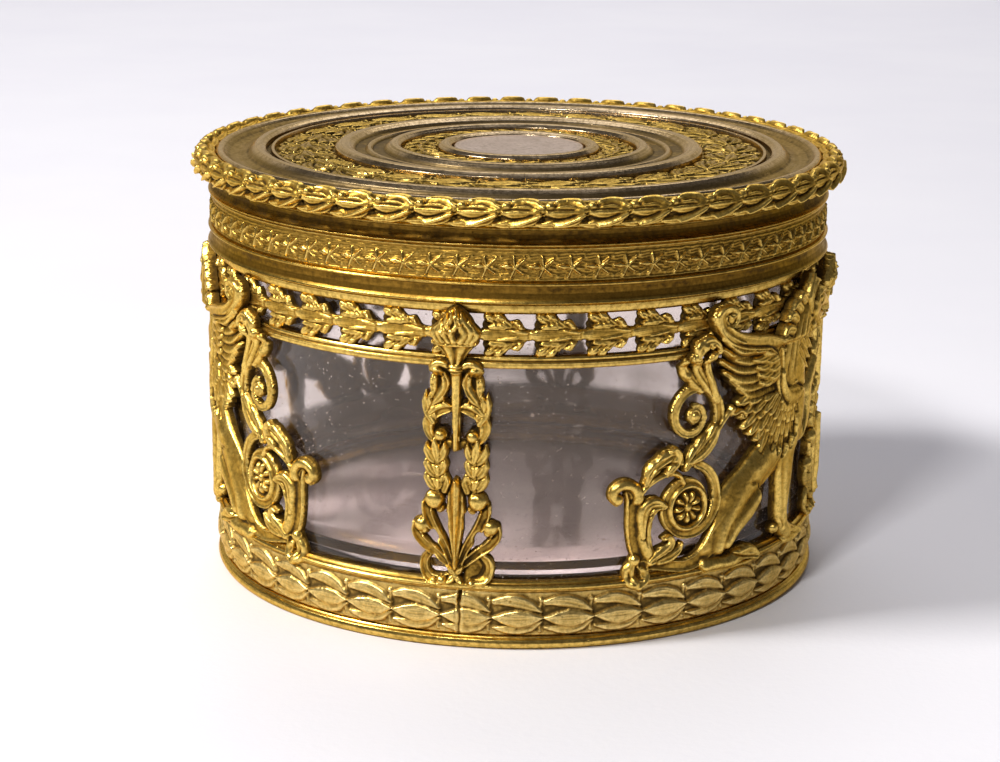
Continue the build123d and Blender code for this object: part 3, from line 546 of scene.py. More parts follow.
    # ---- wing: flight feathers from the lowest to the top, each lying over the one below
    F = [
        ([(50.2, 34.3), (47.6, 34.2), (45.2, 34.1), (43.3, 34.6), (41.6, 35.4)], [0.9, 0.95, 0.9, 0.80, 0.42]),
        ([(50.4, 35.5), (47.0, 35.4), (44.0, 35.3), (41.9, 35.9), (40.0, 36.9)], [0.95, 1.0, 0.95, 0.84, 0.44]),
        ([(50.4, 36.7), (47.0, 36.7), (43.8, 36.5), (41.4, 36.9), (39.0, 38.0)], [0.95, 1.0, 1.0, 0.84, 0.44]),
        ([(50.2, 37.8), (46.8, 37.9), (43.6, 37.9), (40.9, 38.4), (38.4, 39.7)], [0.95, 1.05, 1.0, 0.88, 0.46]),
        ([(50.0, 38.9), (46.6, 39.2), (43.4, 39.3), (40.6, 40.0), (38.1, 41.6)], [0.95, 1.1, 1.05, 0.88, 0.46]),
        ([(49.6, 39.9), (46.4, 40.5), (43.2, 40.8), (40.5, 41.5), (38.2, 43.1)], [0.9, 1.1, 1.1, 0.92, 0.5]),
    ]
    for i, (P, W) in enumerate(F):
        hb = 1.05 + 0.10 * i
        g.leaf(P, [x * 0.88 for x in W], hb, 0.42, mid=0.0, mode="over", curl=0.34)
        # fine barbs
        Q = spline(P, 0.12)
        n = len(Q)
        tang = np.gradient(Q, axis=0)
        tang /= np.maximum(np.hypot(*tang.T), 1e-6)[:, None]
        nor = np.stack([-tang[:, 1], tang[:, 0]], 1)
        for j in range(6, n - 6, 4):
            wj = np.interp(j / (n - 1), np.linspace(0, 1, len(W)), W)
            p0 = Q[j] + nor[j] * wj * 0.55 + tang[j] * 0.35
            p1 = Q[j] - nor[j] * wj * 0.80 - tang[j] * 0.20
            g.groove([tuple(p0), tuple(p1)], 0.07, 0.10, step=0.2)
        # bright quill along the upper edge
        g.ridge(Q + nor * np.interp(np.linspace(0, 1, n), np.linspace(0, 1, len(W)), W)[:, None] * -0.72, 0.11, 0.16, raw=True)
    # second layer: coverts with rounded tips
    for i, (u, z) in enumerate(((46.9, 35.3), (46.4, 36.5), (45.9, 37.7), (45.2, 38.9), (44.7, 40.3))):
        g.leaf([(50.8, z + 0.9 - 0.15 * i), (48.6, z + 0.35), (u, z), (u - 0.9, z + 0.25)], [0.8, 0.85, 0.8, 0.35], 1.75 + 0.06 * i, 0.40, mid=0.10, mode="over", curl=0.12)
    for i, (u, z) in enumerate(((48.6, 35.9), (48.3, 37.1), (47.7, 38.3), (47.0, 39.6))):
        g.leaf([(51.0, z + 0.9), (49.8, z + 0.4), (u, z), (u - 0.6, z + 0.15)], [0.7, 0.75, 0.7, 0.3], 2.02 + 0.04 * i, 0.34, mid=0.08, mode="over", curl=0.10)
    # leading edge of the wing up to the curled tip
    lead = [(52.6, 31.6), (51.4, 33.2), (50.9, 35.2), (50.9, 37.2), (50.4, 39.0), (49.0, 40.3), (46.6, 41.2), (43.6, 41.8), (41.0, 42.5), (39.0, 43.6), (37.9, 45.0), (37.7, 46.3), (38.5, 46.9), (39.4, 46.5)]
    g.stroke(lead, [0.55, 0.75, 0.8, 0.8, 0.95, 1.1, 1.15, 1.1, 1.1, 1.15, 1.15, 1.05, 0.85, 0.7], 1.55, 0.75, mode="over", prof="edges")
    g.stroke([(41.6, 42.0), (39.4, 43.0), (37.6, 44.6), (37.1, 46.2), (37.9, 47.1), (39.1, 46.9), (40.0, 46.1)], [0.35, 0.55, 0.7, 0.75, 0.7, 0.7, 0.5], 1.45, 0.6, mode="max", prof="round")
    vs = np.vstack([arc(39.2, 45.75, 1.75, 120, 0, 1.25), arc(39.2, 45.75, 1.25, 0, -120, 0.95)])
    g.stroke(vs[::2], [0.6, 0.5, 0.42, 0.36], 1.25, 0.85, raw=True, mode="max")
    g.ball(39.35, 45.7, 0.78, 1.35, 0.55)
    g.groove(arc(39.35, 45.7, 0.95, 60, 330), 0.13, 0.35, raw=True)
    g.groove([(49.6, 39.5), (46.6, 40.7), (43.5, 41.3), (41.0, 42.0), (39.2, 43.1)], 0.12, 0.25)
    # smooth fold that wraps the shoulder, from the wing to the breast
    g.stroke([(51.4, 35.8), (51.9, 33.6), (53.0, 32.3), (54.8, 31.7), (56.6, 31.9), (58.0, 32.6)], [0.5, 0.7, 0.85, 0.9, 0.8, 0.4], 1.95, 0.55, mode="smax", k=0.25)
    g.groove([(51.6, 35.5), (52.6, 34.0), (54.2, 33.5), (56.4, 33.3), (58.4, 32.5), (60.2, 32.6)], 0.22, 0.55)

    # ---- neck, mane and head
    g.stroke([(55.2, 34.6), (55.0, 37.6), (55.6, 40.6), (57.2, 43.0)], [2.9, 3.2, 3.0, 2.6], 1.2, 1.05, mode="smax", k=0.5, prof="soft")
    for x, dz in ((52.6, 0.0), (53.9, 0.6), (55.2, 1.0)):
        g.groove([(x - 0.6, 35.2), (x - 0.2, 37.6), (x + 0.5, 40.2), (x + 1.6, 42.6 + dz)], 0.20, 0.28)
    # locks of the mane down the back of the neck
    for p in (((52.2, 40.2), (50.9, 40.3), (50.0, 39.4)), ((52.8, 41.8), (51.4, 42.1), (50.3, 41.3)), ((53.8, 43.2), (52.4, 43.9), (51.3, 43.3)), ((55.0, 44.4), (53.8, 45.2), (52.6, 44.7)), ((56.4, 45.4), (55.6, 46.1), (54.6, 45.6))):
        g.leaf(list(p), [0.75, 0.8, 0.2], 1.35, 0.55, mid=0.15, mode="over")
    # feathers down the front of the neck
    for i, (u, z) in enumerate(((60.8, 34.7), (61.5, 36.0), (62.3, 37.3), (62.9, 38.7), (63.4, 40.2))):
        g.leaf([(u - 2.9, z + 2.1), (u - 1.5, z + 0.9), (u + 0.3, z - 0.1)], [0.7, 0.8, 0.15], 1.35 + 0.05 * i, 0.6, mid=0.18, mode="over")
    for i, (u, z) in enumerate(((58.4, 36.2), (59.0, 37.7), (59.5, 39.3))):
        g.leaf([(u - 2.0, z + 2.2), (u - 0.9, z + 1.1), (u + 0.5, z - 0.1)], [0.6, 0.75, 0.15], 1.75, 0.45, mid=0.16, mode="over")
    # head
    g.ball(59.8, 43.8, 2.9, 1.25, 1.15, mode="smax", k=0.5)
    g.stroke([(60.4, 44.3), (62.4, 44.3), (64.4, 43.9), (66.0, 43.0), (66.6, 41.9)], [1.9, 1.55, 1.2, 0.85, 0.25], 1.2, 1.15, mode="smax", k=0.35)
    g.stroke([(61.6, 42.4), (63.2, 42.0), (64.8, 41.9)], [0.8, 0.65, 0.3], 1.1, 0.8, mode="smax", k=0.25)
    g.groove([(66.0, 42.6), (64.4, 42.8), (62.6, 42.9), (61.4, 42.7)], 0.14, 0.45)
    g.stroke([(60.6, 45.6), (62.2, 45.9), (63.6, 45.3)], [0.45, 0.5, 0.25], 2.1, 0.5, mode="smax", k=0.2)
    g.ball(61.6, 44.7, 0.62, 2.0, 0.5)
    g.groove(arc(61.6, 44.7, 0.78, 0, 360), 0.12, 0.30, raw=True, taper=False)
    g.ball(58.7, 41.4, 0.75, 1.9, 0.55)
    # ear and crest, pointing up
    g.leaf([(57.9, 43.6), (57.9, 45.8), (58.6, 47.6), (59.3, 48.9)], [0.85, 1.0, 0.75, 0.12], 1.5, 0.75, mid=0.35, mode="over")
    g.leaf([(59.4, 45.4), (60.2, 46.6), (61.6, 47.2), (62.6, 46.9)], [0.7, 0.75, 0.55, 0.2], 1.4, 0.55, mid=0.2, mode="over")
    g.ball(59.2, 43.3, 0.9, 2.05, 0.45, mode="smax", k=0.2)
    g.groove([(44.2, 21.6), (46.0, 21.2), (46.9, 20.2), (46.8, 18.9)], 0.30, 0.30)
    g.groove([(48.0, 20.6), (50.0, 22.4), (51.6, 24.0)], 0.35, 0.22)
    # the foot stands proud of the moulding
    g.H = g.H + 0.55 * np.clip((11.6 - g.Z) / 1.6, 0, 1)
    g.finish(0.5, 0.034, 11, 0.28)
    return g


# ---------------------------------------------------------------- torch over a palmette
def draw_torch(d=0.095):
    g = Relief(-7.4, 7.4, 9.0, 50.0, d)

    def both(f):
        for s in (-1, 1):
            f(s)

    def m(P, s):
        return [(s * a, b) for a, b in P]

    def ribbon(P, W, h0, amp, s):
        # a hollow strap: a sunk middle between two raised, rounded edges
        Q = np.array(m(P, s), float)
        g.stroke(Q, W, h0, amp * 0.35, mode="max", prof="soft")
        C = spline(Q, 0.15)
        t = np.gradient(C, axis=0)
        t /= np.maximum(np.hypot(*t.T), 1e-6)[:, None]
        nn = np.stack([-t[:, 1], t[:, 0]], 1)
        wv = np.interp(np.linspace(0, 1, len(C)), np.linspace(0, 1, len(W)), W)[:, None]
        for q in (-1, 1):
            g.stroke(C + nn * wv * 0.72 * q, [x * 0.30 for x in W], h0 + 0.05, amp * 0.85, mode="max", prof="round", raw=True)

    # foot plate
    g.poly([(-4.9, 9.2), (5.4, 9.2), (5.2, 10.1), (1.8, 10.4), (0, 11.2), (-1.8, 10.4), (-4.6, 10.1)], 0.45, 0.45, 0.6, mode="max", smooth=False)
    # left foot scroll is open, the right one is a filled shell
    ribbon([(-0.7, 10.9), (-2.2, 10.45), (-3.6, 10.6), (-4.5, 11.7), (-4.4, 13.1), (-3.6, 13.9)], [0.6, 0.75, 0.8, 0.75, 0.65, 0.5], 0.5, 0.85, 1)
    g.poly([(1.0, 10.4), (3.2, 10.0), (4.7, 10.6), (5.3, 12.0), (4.9, 13.5), (3.4, 14.2), (1.8, 13.2)], 0.55, 0.55, 0.9, mode="max")
    g.dimple(3.4, 12.0, 1.0, 0.45)
    for a in (0.35, 0.75):
        g.groove([(1.6 + a, 10.9), (2.9 + a, 11.3), (3.6 + a * 0.6, 12.4), (3.2, 13.6)], 0.13, 0.22)
    g.stroke([(2.2, 10.2), (4.3, 10.5), (5.1, 11.8), (4.8, 13.3), (3.7, 14.0)], [0.3, 0.4, 0.42, 0.4, 0.25], 0.8, 0.5, mode="max")
    # lower straps and their volutes
    for s in (-1, 1):
        ribbon([(0.3, 11.9), (1.7, 13.1), (3.2, 14.2), (4.7, 15.2), (5.6, 16.5), (5.6, 17.9)], [0.4, 0.6, 0.72, 0.80, 0.82, 0.7], 0.6, 0.95, s)
    both(lambda s: g.ball(s * 4.85, 17.75, 1.12, 0.95, 1.05))
    both(lambda s: g.ball(s * 4.35, 16.9, 0.62, 0.9, 0.7))
    both(lambda s: g.groove(m([(3.7, 17.5), (4.0, 16.6), (4.9, 16.2), (5.6, 16.7)], s), 0.13, 0.35))
    # upper straps and their volutes
    for s in (-1, 1):
        ribbon([(0.5, 12.4), (1.2, 14.2), (2.2, 16.0), (3.3, 17.8), (4.0, 19.5), (4.1, 20.9)], [0.4, 0.55, 0.72, 0.82, 0.88, 0.8], 0.72, 1.0, s)
    both(lambda s: g.ball(s * 3.05, 21.5, 1.45, 1.0, 1.2))
    both(lambda s: g.ball(s * 2.3, 20.3, 0.75, 0.9, 0.8))
    both(lambda s: g.groove(m([(1.75, 21.3), (2.2, 20.4), (3.2, 20.0), (4.0, 20.5), (4.4, 21.4)], s), 0.15, 0.42))
    both(lambda s: g.groove(m([(2.2, 22.3), (3.0, 22.7), (3.9, 22.3)], s), 0.12, 0.22))
    # middle lance leaf
    g.leaf([(0, 11.7), (0, 14.2), (0, 18.0), (0, 21.6), (0, 24.9)], [0.30, 0.62, 1.05, 1.45, 1.25, 0.25], 1.0, 1.15, mid=0.0, mode="over")
    g.groove([(-0.75, 23.6), (-0.62, 20.0), (-0.36, 16.0), (-0.15, 13.2)], 0.20, 0.42)
    g.groove([(0.78, 23.6), (0.66, 20.0), (0.40, 16.0), (0.16, 13.2)], 0.20, 0.42)
    g.ridge([(0.02, 24.4), (0.02, 18.0), (0.0, 12.8)], 0.18, 0.34)
    g.groove([(-1.0, 24.2), (-1.25, 22.6), (-1.15, 21.0)], 0.14, 0.3)
    g.groove([(1.0, 24.2), (1.25, 22.6), (1.15, 21.0)], 0.14, 0.3)
    # four-petal knot with small buds beside it
    for an in (45, 135, 225, 315):
        c, q = math.cos(math.radians(an)), math.sin(math.radians(an))
        g.leaf([(c * 0.15, 11.3 + q * 0.15), (c * 0.75, 11.3 + q * 0.75), (c * 1.35, 11.3 + q * 1.35)], [0.35, 0.55, 0.30], 1.15, 0.75, mid=0.22, mode="over")
    g.ball(0, 11.3, 0.42, 1.3, 0.55)
    g.ball(-1.95, 10.55, 0.72, 0.9, 0.8)
    g.ball(2.3, 10.25, 0.55, 0.9, 0.65)
    g.ball(-3.2, 10.35, 0.45, 0.7, 0.5)
    # laurel twigs
    for s in (-1, 1):
        g.stroke(m([(2.1, 22.9), (2.5, 25.0), (2.7, 27.4), (2.6, 29.8)], s), [1.15, 1.35, 1.3, 0.95], 0.5, 0.45, mode="max", prof="soft")
        for i, z0 in enumerate((22.8, 24.7, 26.7)):
            g.leaf(m([(2.5, z0), (3.4, z0 + 0.8), (4.0, z0 + 1.9), (4.2, z0 + 3.0)], s), [0.3, 0.78, 0.72, 0.08], 0.95 + 0.06 * i, 0.75, mid=0.20, mode="over")
            g.leaf(m([(2.7, z0 + 0.2), (2.0, z0 + 1.1), (1.65, z0 + 2.1), (1.6, z0 + 3.1)], s), [0.3, 0.72, 0.66, 0.08], 1.0 + 0.06 * i, 0.7, mid=0.20, mode="over")
            g.leaf(m([(2.55, z0 + 0.6), (2.75, z0 + 1.7), (2.9, z0 + 2.8), (3.0, z0 + 3.7)], s), [0.3, 0.66, 0.62, 0.08], 1.25 + 0.06 * i, 0.62, mid=0.20, mode="over")
        g.leaf(m([(1.6, 22.9), (1.2, 24.0), (1.25, 25.2)], s), [0.5, 0.62, 0.10], 1.15, 0.5, mid=0.18, mode="over")
    # arch over the oval opening
    g.stroke([(-2.2, 28.4), (-1.2, 29.5), (0.0, 29.2), (1.2, 29.5), (2.2, 28.4)], [0.75, 0.7, 0.6, 0.7, 0.75], 0.6, 0.5)
    # acanthus flanks
    for s in (-1, 1):
        # ground of the flank
        g.poly(m([(0.3, 40.3), (2.6, 40.9), (3.5, 39.7), (3.5, 37.2), (4.3, 35.6), (4.55, 33.4), (4.0, 31.2), (2.9, 29.6), (1.6, 29.2), (1.4, 30.6), (2.6, 31.8), (2.6, 33.0), (0.4, 34.4), (0.4, 36.4), (1.3, 37.2), (0.5, 38.6)], s), 0.42, 0.30, 0.6, mode="max")
        # C scroll with a bead
        g.stroke(m([(0.9, 34.5), (2.0, 34.2), (3.1, 33.7), (3.9, 32.8), (4.0, 31.6), (3.4, 30.4), (2.5, 29.7)], s), [0.40, 0.62, 0.78, 0.80, 0.74, 0.66, 0.45], 0.95, 0.70, mode="max", prof="edges")
        g.stroke(m([(2.9, 33.1), (3.5, 32.2), (3.4, 31.1), (2.7, 30.3)], s), [0.3, 0.34, 0.34, 0.25], 0.95, 0.55, mode="max")
        g.ball(s * 2.25, 30.75, 0.92, 1.0, 1.0)
        g.groove(m([(1.3, 31.3), (2.1, 31.9), (3.0, 31.5), (3.1, 30.6)], s), 0.14, 0.4)
        # outer pointed leaf
        g.leaf(m([(3.2, 32.6), (4.0, 33.8), (4.35, 35.3), (4.3, 37.0)], s), [0.45, 0.62, 0.55, 0.06], 1.05, 0.7, mid=0.2, mode="over")
        g.leaf(m([(3.0, 33.6), (3.6, 34.6), (3.75, 35.6), (3.6, 36.8)], s), [0.35, 0.55, 0.5, 0.08], 1.2, 0.6, mid=0.2, mode="over")
        # leaf laid in to the shaft
        g.leaf(m([(3.6, 34.0), (2.7, 34.9), (1.6, 35.2), (0.6, 35.0)], s), [0.40, 0.72, 0.62, 0.10], 1.15, 0.65, mid=0.2, mode="over")
        # upper leaf that folds down from the top curl
        g.leaf(m([(2.2, 40.0), (1.5, 38.9), (1.4, 37.8), (2.0, 36.6), (2.9, 35.5), (3.4, 34.9)], s), [0.45, 0.70, 0.85, 0.95, 0.75, 0.10], 0.95, 0.80, mid=0.22, mode="over")
        g.leaf(m([(2.9, 39.6), (3.2, 38.4), (3.2, 37.2), (3.4, 36.0)], s), [0.45, 0.62, 0.60, 0.12], 0.9, 0.70, mid=0.2, mode="over")
        g.ridge(m([(1.5, 39.6), (1.0, 38.6), (1.05, 37.6), (1.6, 36.5)], s), 0.14, 0.30)
        # top curl
        g.stroke(m([(1.0, 40.9), (2.0, 41.2), (2.9, 40.8), (3.3, 39.9)], s), [0.5, 0.62, 0.66, 0.5], 0.75, 0.75, mode="max")
        g.ball(s * 2.55, 39.95, 0.80, 1.05, 0.85)
        g.groove(arc(s * 2.55, 39.95, 0.92, 200, 420), 0.11, 0.3, raw=True)
        for q in range(4):
            g.groove(m([(3.0 + 0.1 * q, 38.6 - q * 0.8), (3.5, 38.9 - q * 0.8)], s), 0.09, 0.2)
    # shaft
    g.stroke([(0, 40.6), (0, 37.0), (0, 32.0), (0, 28.6)], [0.80, 0.70, 0.54, 0.42], 1.15, 0.95, mode="over", prof="round")
    g.ball(0, 28.8, 0.60, 1.0, 0.65)
    for x in (-0.3, 0.3):
        g.groove([(x, 40), (x * 0.7, 34), (x * 0.4, 30)], 0.08, 0.10)
    # cup: collar, fluted calyx, rim
    w = g.win((-4, 40.0), (4, 45.2))
    U, Z = g.U[w], g.Z[w]
    half = np.interp(Z, [39.9, 40.3, 40.62, 40.8, 41.1, 41.4, 42.4, 43.3, 44.0, 44.5, 44.9], [0.85, 1.12, 0.90, 1.12, 0.95, 1.05, 1.55, 2.25, 3.0, 3.0, 2.6])
    bulge = np.interp(Z, [39.9, 40.3, 40.62, 40.8, 41.1, 42.2, 43.6, 44.2, 44.7], [0.8, 1.15, 0.8, 1.15, 0.85, 1.05, 1.25, 1.55, 1.2])
    x = np.clip(np.abs(U) / half, 0, 1)
    h = 0.75 + bulge * np.sqrt(np.clip(1 - x * x, 0, 1))
    ph = np.arcsin(np.clip(U / half, -1, 1))
    flu = np.where((Z > 41.2) & (Z < 43.7), -0.42 * (0.5 + 0.5 * np.cos(ph * 7.0)) ** 1.5, 0)
    s = np.minimum(half - np.abs(U), np.minimum(Z - 39.8, 44.8 - Z))
    g.put(w, s, h + flu, "over")
    g.stroke([(-2.85, 44.30), (-1.5, 44.12), (0, 44.05), (1.5, 44.12), (2.85, 44.30)], 0.34, 1.45, 0.80, mode="max")
    # flame
    g.poly([(0.1, 49.75), (-0.7, 49.3), (-1.5, 48.5), (-2.2, 47.5), (-2.6, 46.4), (-2.7, 45.4), (-2.6, 44.5), (2.6, 44.5), (2.7, 45.4), (2.65, 46.4), (2.3, 47.5), (1.6, 48.5), (0.8, 49.3)], 0.75, 1.25, 2.6, mode="max")
    r = rng_of(3)
    for i, (P, wd) in enumerate((
            (((-2.2, 44.6), (-2.7, 45.7), (-2.1, 46.8), (-1.7, 47.9)), 0.62), (((2.2, 44.6), (2.8, 45.6), (2.2, 46.7), (1.9, 47.8)), 0.62),
            (((-1.5, 44.6), (-2.0, 45.9), (-1.2, 47.2), (-1.0, 48.7)), 0.58), (((1.5, 44.6), (2.0, 46.0), (1.3, 47.4), (0.9, 48.8)), 0.60),
            (((-0.7, 44.6), (-1.3, 45.8), (-0.5, 47.3), (-0.3, 49.3)), 0.55), (((0.8, 44.6), (1.3, 45.8), (0.5, 47.4), (0.2, 49.6)), 0.55),
            (((0.0, 44.6), (-0.4, 45.9), (0.4, 47.0), (0.0, 48.4)), 0.48))):
        g.leaf(list(P), [wd, wd * 1.1, wd * 0.8, 0.10], 1.45 + 0.08 * i, 0.62, mid=0.0, mode="over")
    for k in range(26):
        a, b = r.uniform(-2.2, 2.2), r.uniform(45.0, 48.2)
        if abs(a) < 2.4 * (49.7 - b) / 4.0:
            g.ridge([(a, b), (a + r.uniform(-0.3, 0.3), b + 0.5), (a * 0.8 + r.uniform(-0.2, 0.2), b + 1.0)], 0.13, 0.24)
    # holes right through
    for s in (-1, 1):
        g.cut(m([(0.78, 38.0), (1.05, 37.4), (1.5, 36.3), (1.5, 35.9), (0.95, 35.8), (0.72, 36.4)], s))
        g.cut(m([(0.72, 33.7), (1.6, 33.4), (2.5, 32.9), (2.75, 32.3), (1.9, 32.1), (1.1, 31.2), (0.72, 31.4)], s))
        g.cut(m([(1.25, 19.7), (2.0, 19.5), (2.6, 19.3), (2.35, 18.0), (1.7, 16.6), (1.2, 16.3), (1.1, 17.6)], s))
        g.cut(m([(2.5, 15.9), (3.1, 16.9), (3.7, 17.0), (4.0, 16.2), (3.7, 15.3), (2.8, 14.8)], s))
    g.cut([(-0.62, 28.2), (0.25, 28.7), (1.0, 28.1), (1.05, 26.6), (0.9, 25.0), (0.2, 24.7), (-0.55, 25.2), (-0.72, 26.6)])
    g.cut([(-3.3, 13.6), (-2.4, 12.9), (-1.5, 12.2), (-2.4, 11.6), (-3.4, 11.8)])
    g.H = g.H + 0.55 * np.clip((11.2 - g.Z) / 1.4, 0, 1)
    g.finish(0.5, 0.030, 21, 0.22)
    return g
# ---------------------------------------------------------------- bands that run right round the box
def lens(n=6, w=1.0, tip=0.12, base=0.25):
    return [w * base, w * 0.78, w, w * 0.97, w * 0.70, w * tip]


def draw_base_band(N=2480):
    L = 2 * math.pi * 46.0
    d = L / N
    g = Relief(-4.0, L + 4.0, 1.7, 8.6, d)
    g.S[:] = 1.0
    g.H[:] = 0.24 + 0.10 * vnoise(g.U / 0.8 + 20, g.Z / 0.8 + 20, 77)
    T = L / 40
    r = rng_of(8)
    j = r.uniform(-1, 1, (41, 10))
    for k in range(-1, 41):
        q = j[k % 40]
        u = 5.1 + k * T
        # leaves that show above and below the middle one
        g.leaf([(u + 0.15, 3.15), (u + 1.6, 2.95 + 0.08 * q[3]), (u + 3.4, 2.95), (u + 5.3, 3.3), (u + 7.0, 4.1)], [0.15, 0.66, 0.94 + 0.05 * q[4], 0.84, 0.16], 0.36, 0.44, mid=0.10, mode="over")
        g.leaf([(u + 0.35, 6.9), (u + 1.5, 7.05 + 0.08 * q[0]), (u + 3.2, 7.0 + 0.08 * q[1]), (u + 5.2, 6.45), (u + 7.0, 5.5)], [0.46, 0.86, 0.98 + 0.06 * q[2], 0.86, 0.20], 0.38, 0.46, mid=0.10, mode="over")
        g.groove([(u + 1.0, 7.25), (u + 3.0, 7.45), (u + 5.4, 6.75)], 0.07, 0.08)
        g.groove([(u + 1.2, 6.75), (u + 3.2, 6.85), (u + 5.6, 6.15)], 0.07, 0.08)
        g.groove([(u + 1.2, 2.75), (u + 3.4, 2.65), (u + 5.6, 3.35)], 0.07, 0.08)
        # stems and small buds in the gaps
        g.stroke([(u - 0.2, 4.7), (u - 0.5, 5.8), (u - 0.35, 6.9)], [0.22, 0.26, 0.2], 0.22, 0.35)
        g.ball(u - 0.35 + 0.12 * q[5], 7.25, 0.40, 0.30, 0.42)
        g.ball(u + 0.15, 6.45, 0.24, 0.25, 0.28)
        g.stroke([(u - 0.2, 4.2), (u - 0.55, 3.3), (u - 0.4, 2.5)], [0.2, 0.22, 0.16], 0.2, 0.3)
        g.ball(u - 0.45, 2.65 + 0.1 * q[6], 0.28, 0.25, 0.30)
        g.dimple(u - 0.1, 5.6, 0.30, 0.16)
        g.dimple(u - 0.1, 3.6, 0.26, 0.14)
    for k in range(-1, 41):
        q = j[k % 40]
        u = 5.1 + k * T
        # the middle leaf, pointed at both ends
        g.leaf([(u - 0.15, 4.75), (u + 1.7, 4.62 + 0.06 * q[6]), (u + 3.6, 4.55), (u + 5.6, 4.62), (u + 7.35, 4.78)], [0.06, 0.94, 1.36 + 0.05 * q[7], 1.04, 0.07], 0.66, 0.50, mid=0.10, mode="over")
        for t in (-1, 1):
            g.groove([(u + 0.9, 4.68 + 0.12 * t), (u + 3.6, 4.55 + 0.40 * t), (u + 6.5, 4.72 + 0.12 * t)], 0.065, 0.075)
            g.groove([(u + 1.5, 4.65 + 0.38 * t), (u + 3.6, 4.55 + 0.92 * t), (u + 5.8, 4.66 + 0.38 * t)], 0.06, 0.055)
    # the butt joint: worn flat leaves and an open slot
    w = g.win((-7.5, 1.7), (5.5, 8.6))
    f = np.exp(-((g.U[w] + 1.0) / 3.6) ** 4) * 0.55
    g.H[w] = g.H[w] * (1 - f) + 0.62 * f
    for x in (0.5, L + 0.5):
        w = g.win((x - 1.4, 1.7), (x + 1.4, 8.6))
        c = x + 0.10 * np.sin(g.Z[w] * 1.7)
        wd = np.interp(g.Z[w], [1.8, 3.0, 5.5, 6.4, 6.9, 8.2, 8.5], [0.05, 0.05, 0.07, 0.10, 0.19, 0.20, 0.10])
        a = np.abs(g.U[w] - c)
        dep = np.interp(g.Z[w], [1.8, 3.0, 5.5, 6.6, 7.0, 8.5], [0.25, 0.3, 0.35, 0.55, 1.1, 1.1])
        g.H[w] -= dep * np.clip(1.6 - a / wd, 0, 1)
        g.H[w] += 0.10 * np.exp(-((a - 0.42) / 0.2) ** 2)
    # pits near the joints
    for k in range(90):
        x, z = r.uniform(0, L), r.choice([r.uniform(5.9, 7.9), r.uniform(2.2, 3.7)])
        g.dimple(x, z, r.uniform(0.08, 0.16), r.uniform(0.06, 0.22))
    # soft ends of the strip
    e = np.minimum(g.Z - 1.8, 8.5 - g.Z)
    g.H = g.H - 0.35 * np.clip(1 - e / 0.30, 0, 1) ** 2
    g.finish(0.5, 0.020, 31)
    return g, L, N


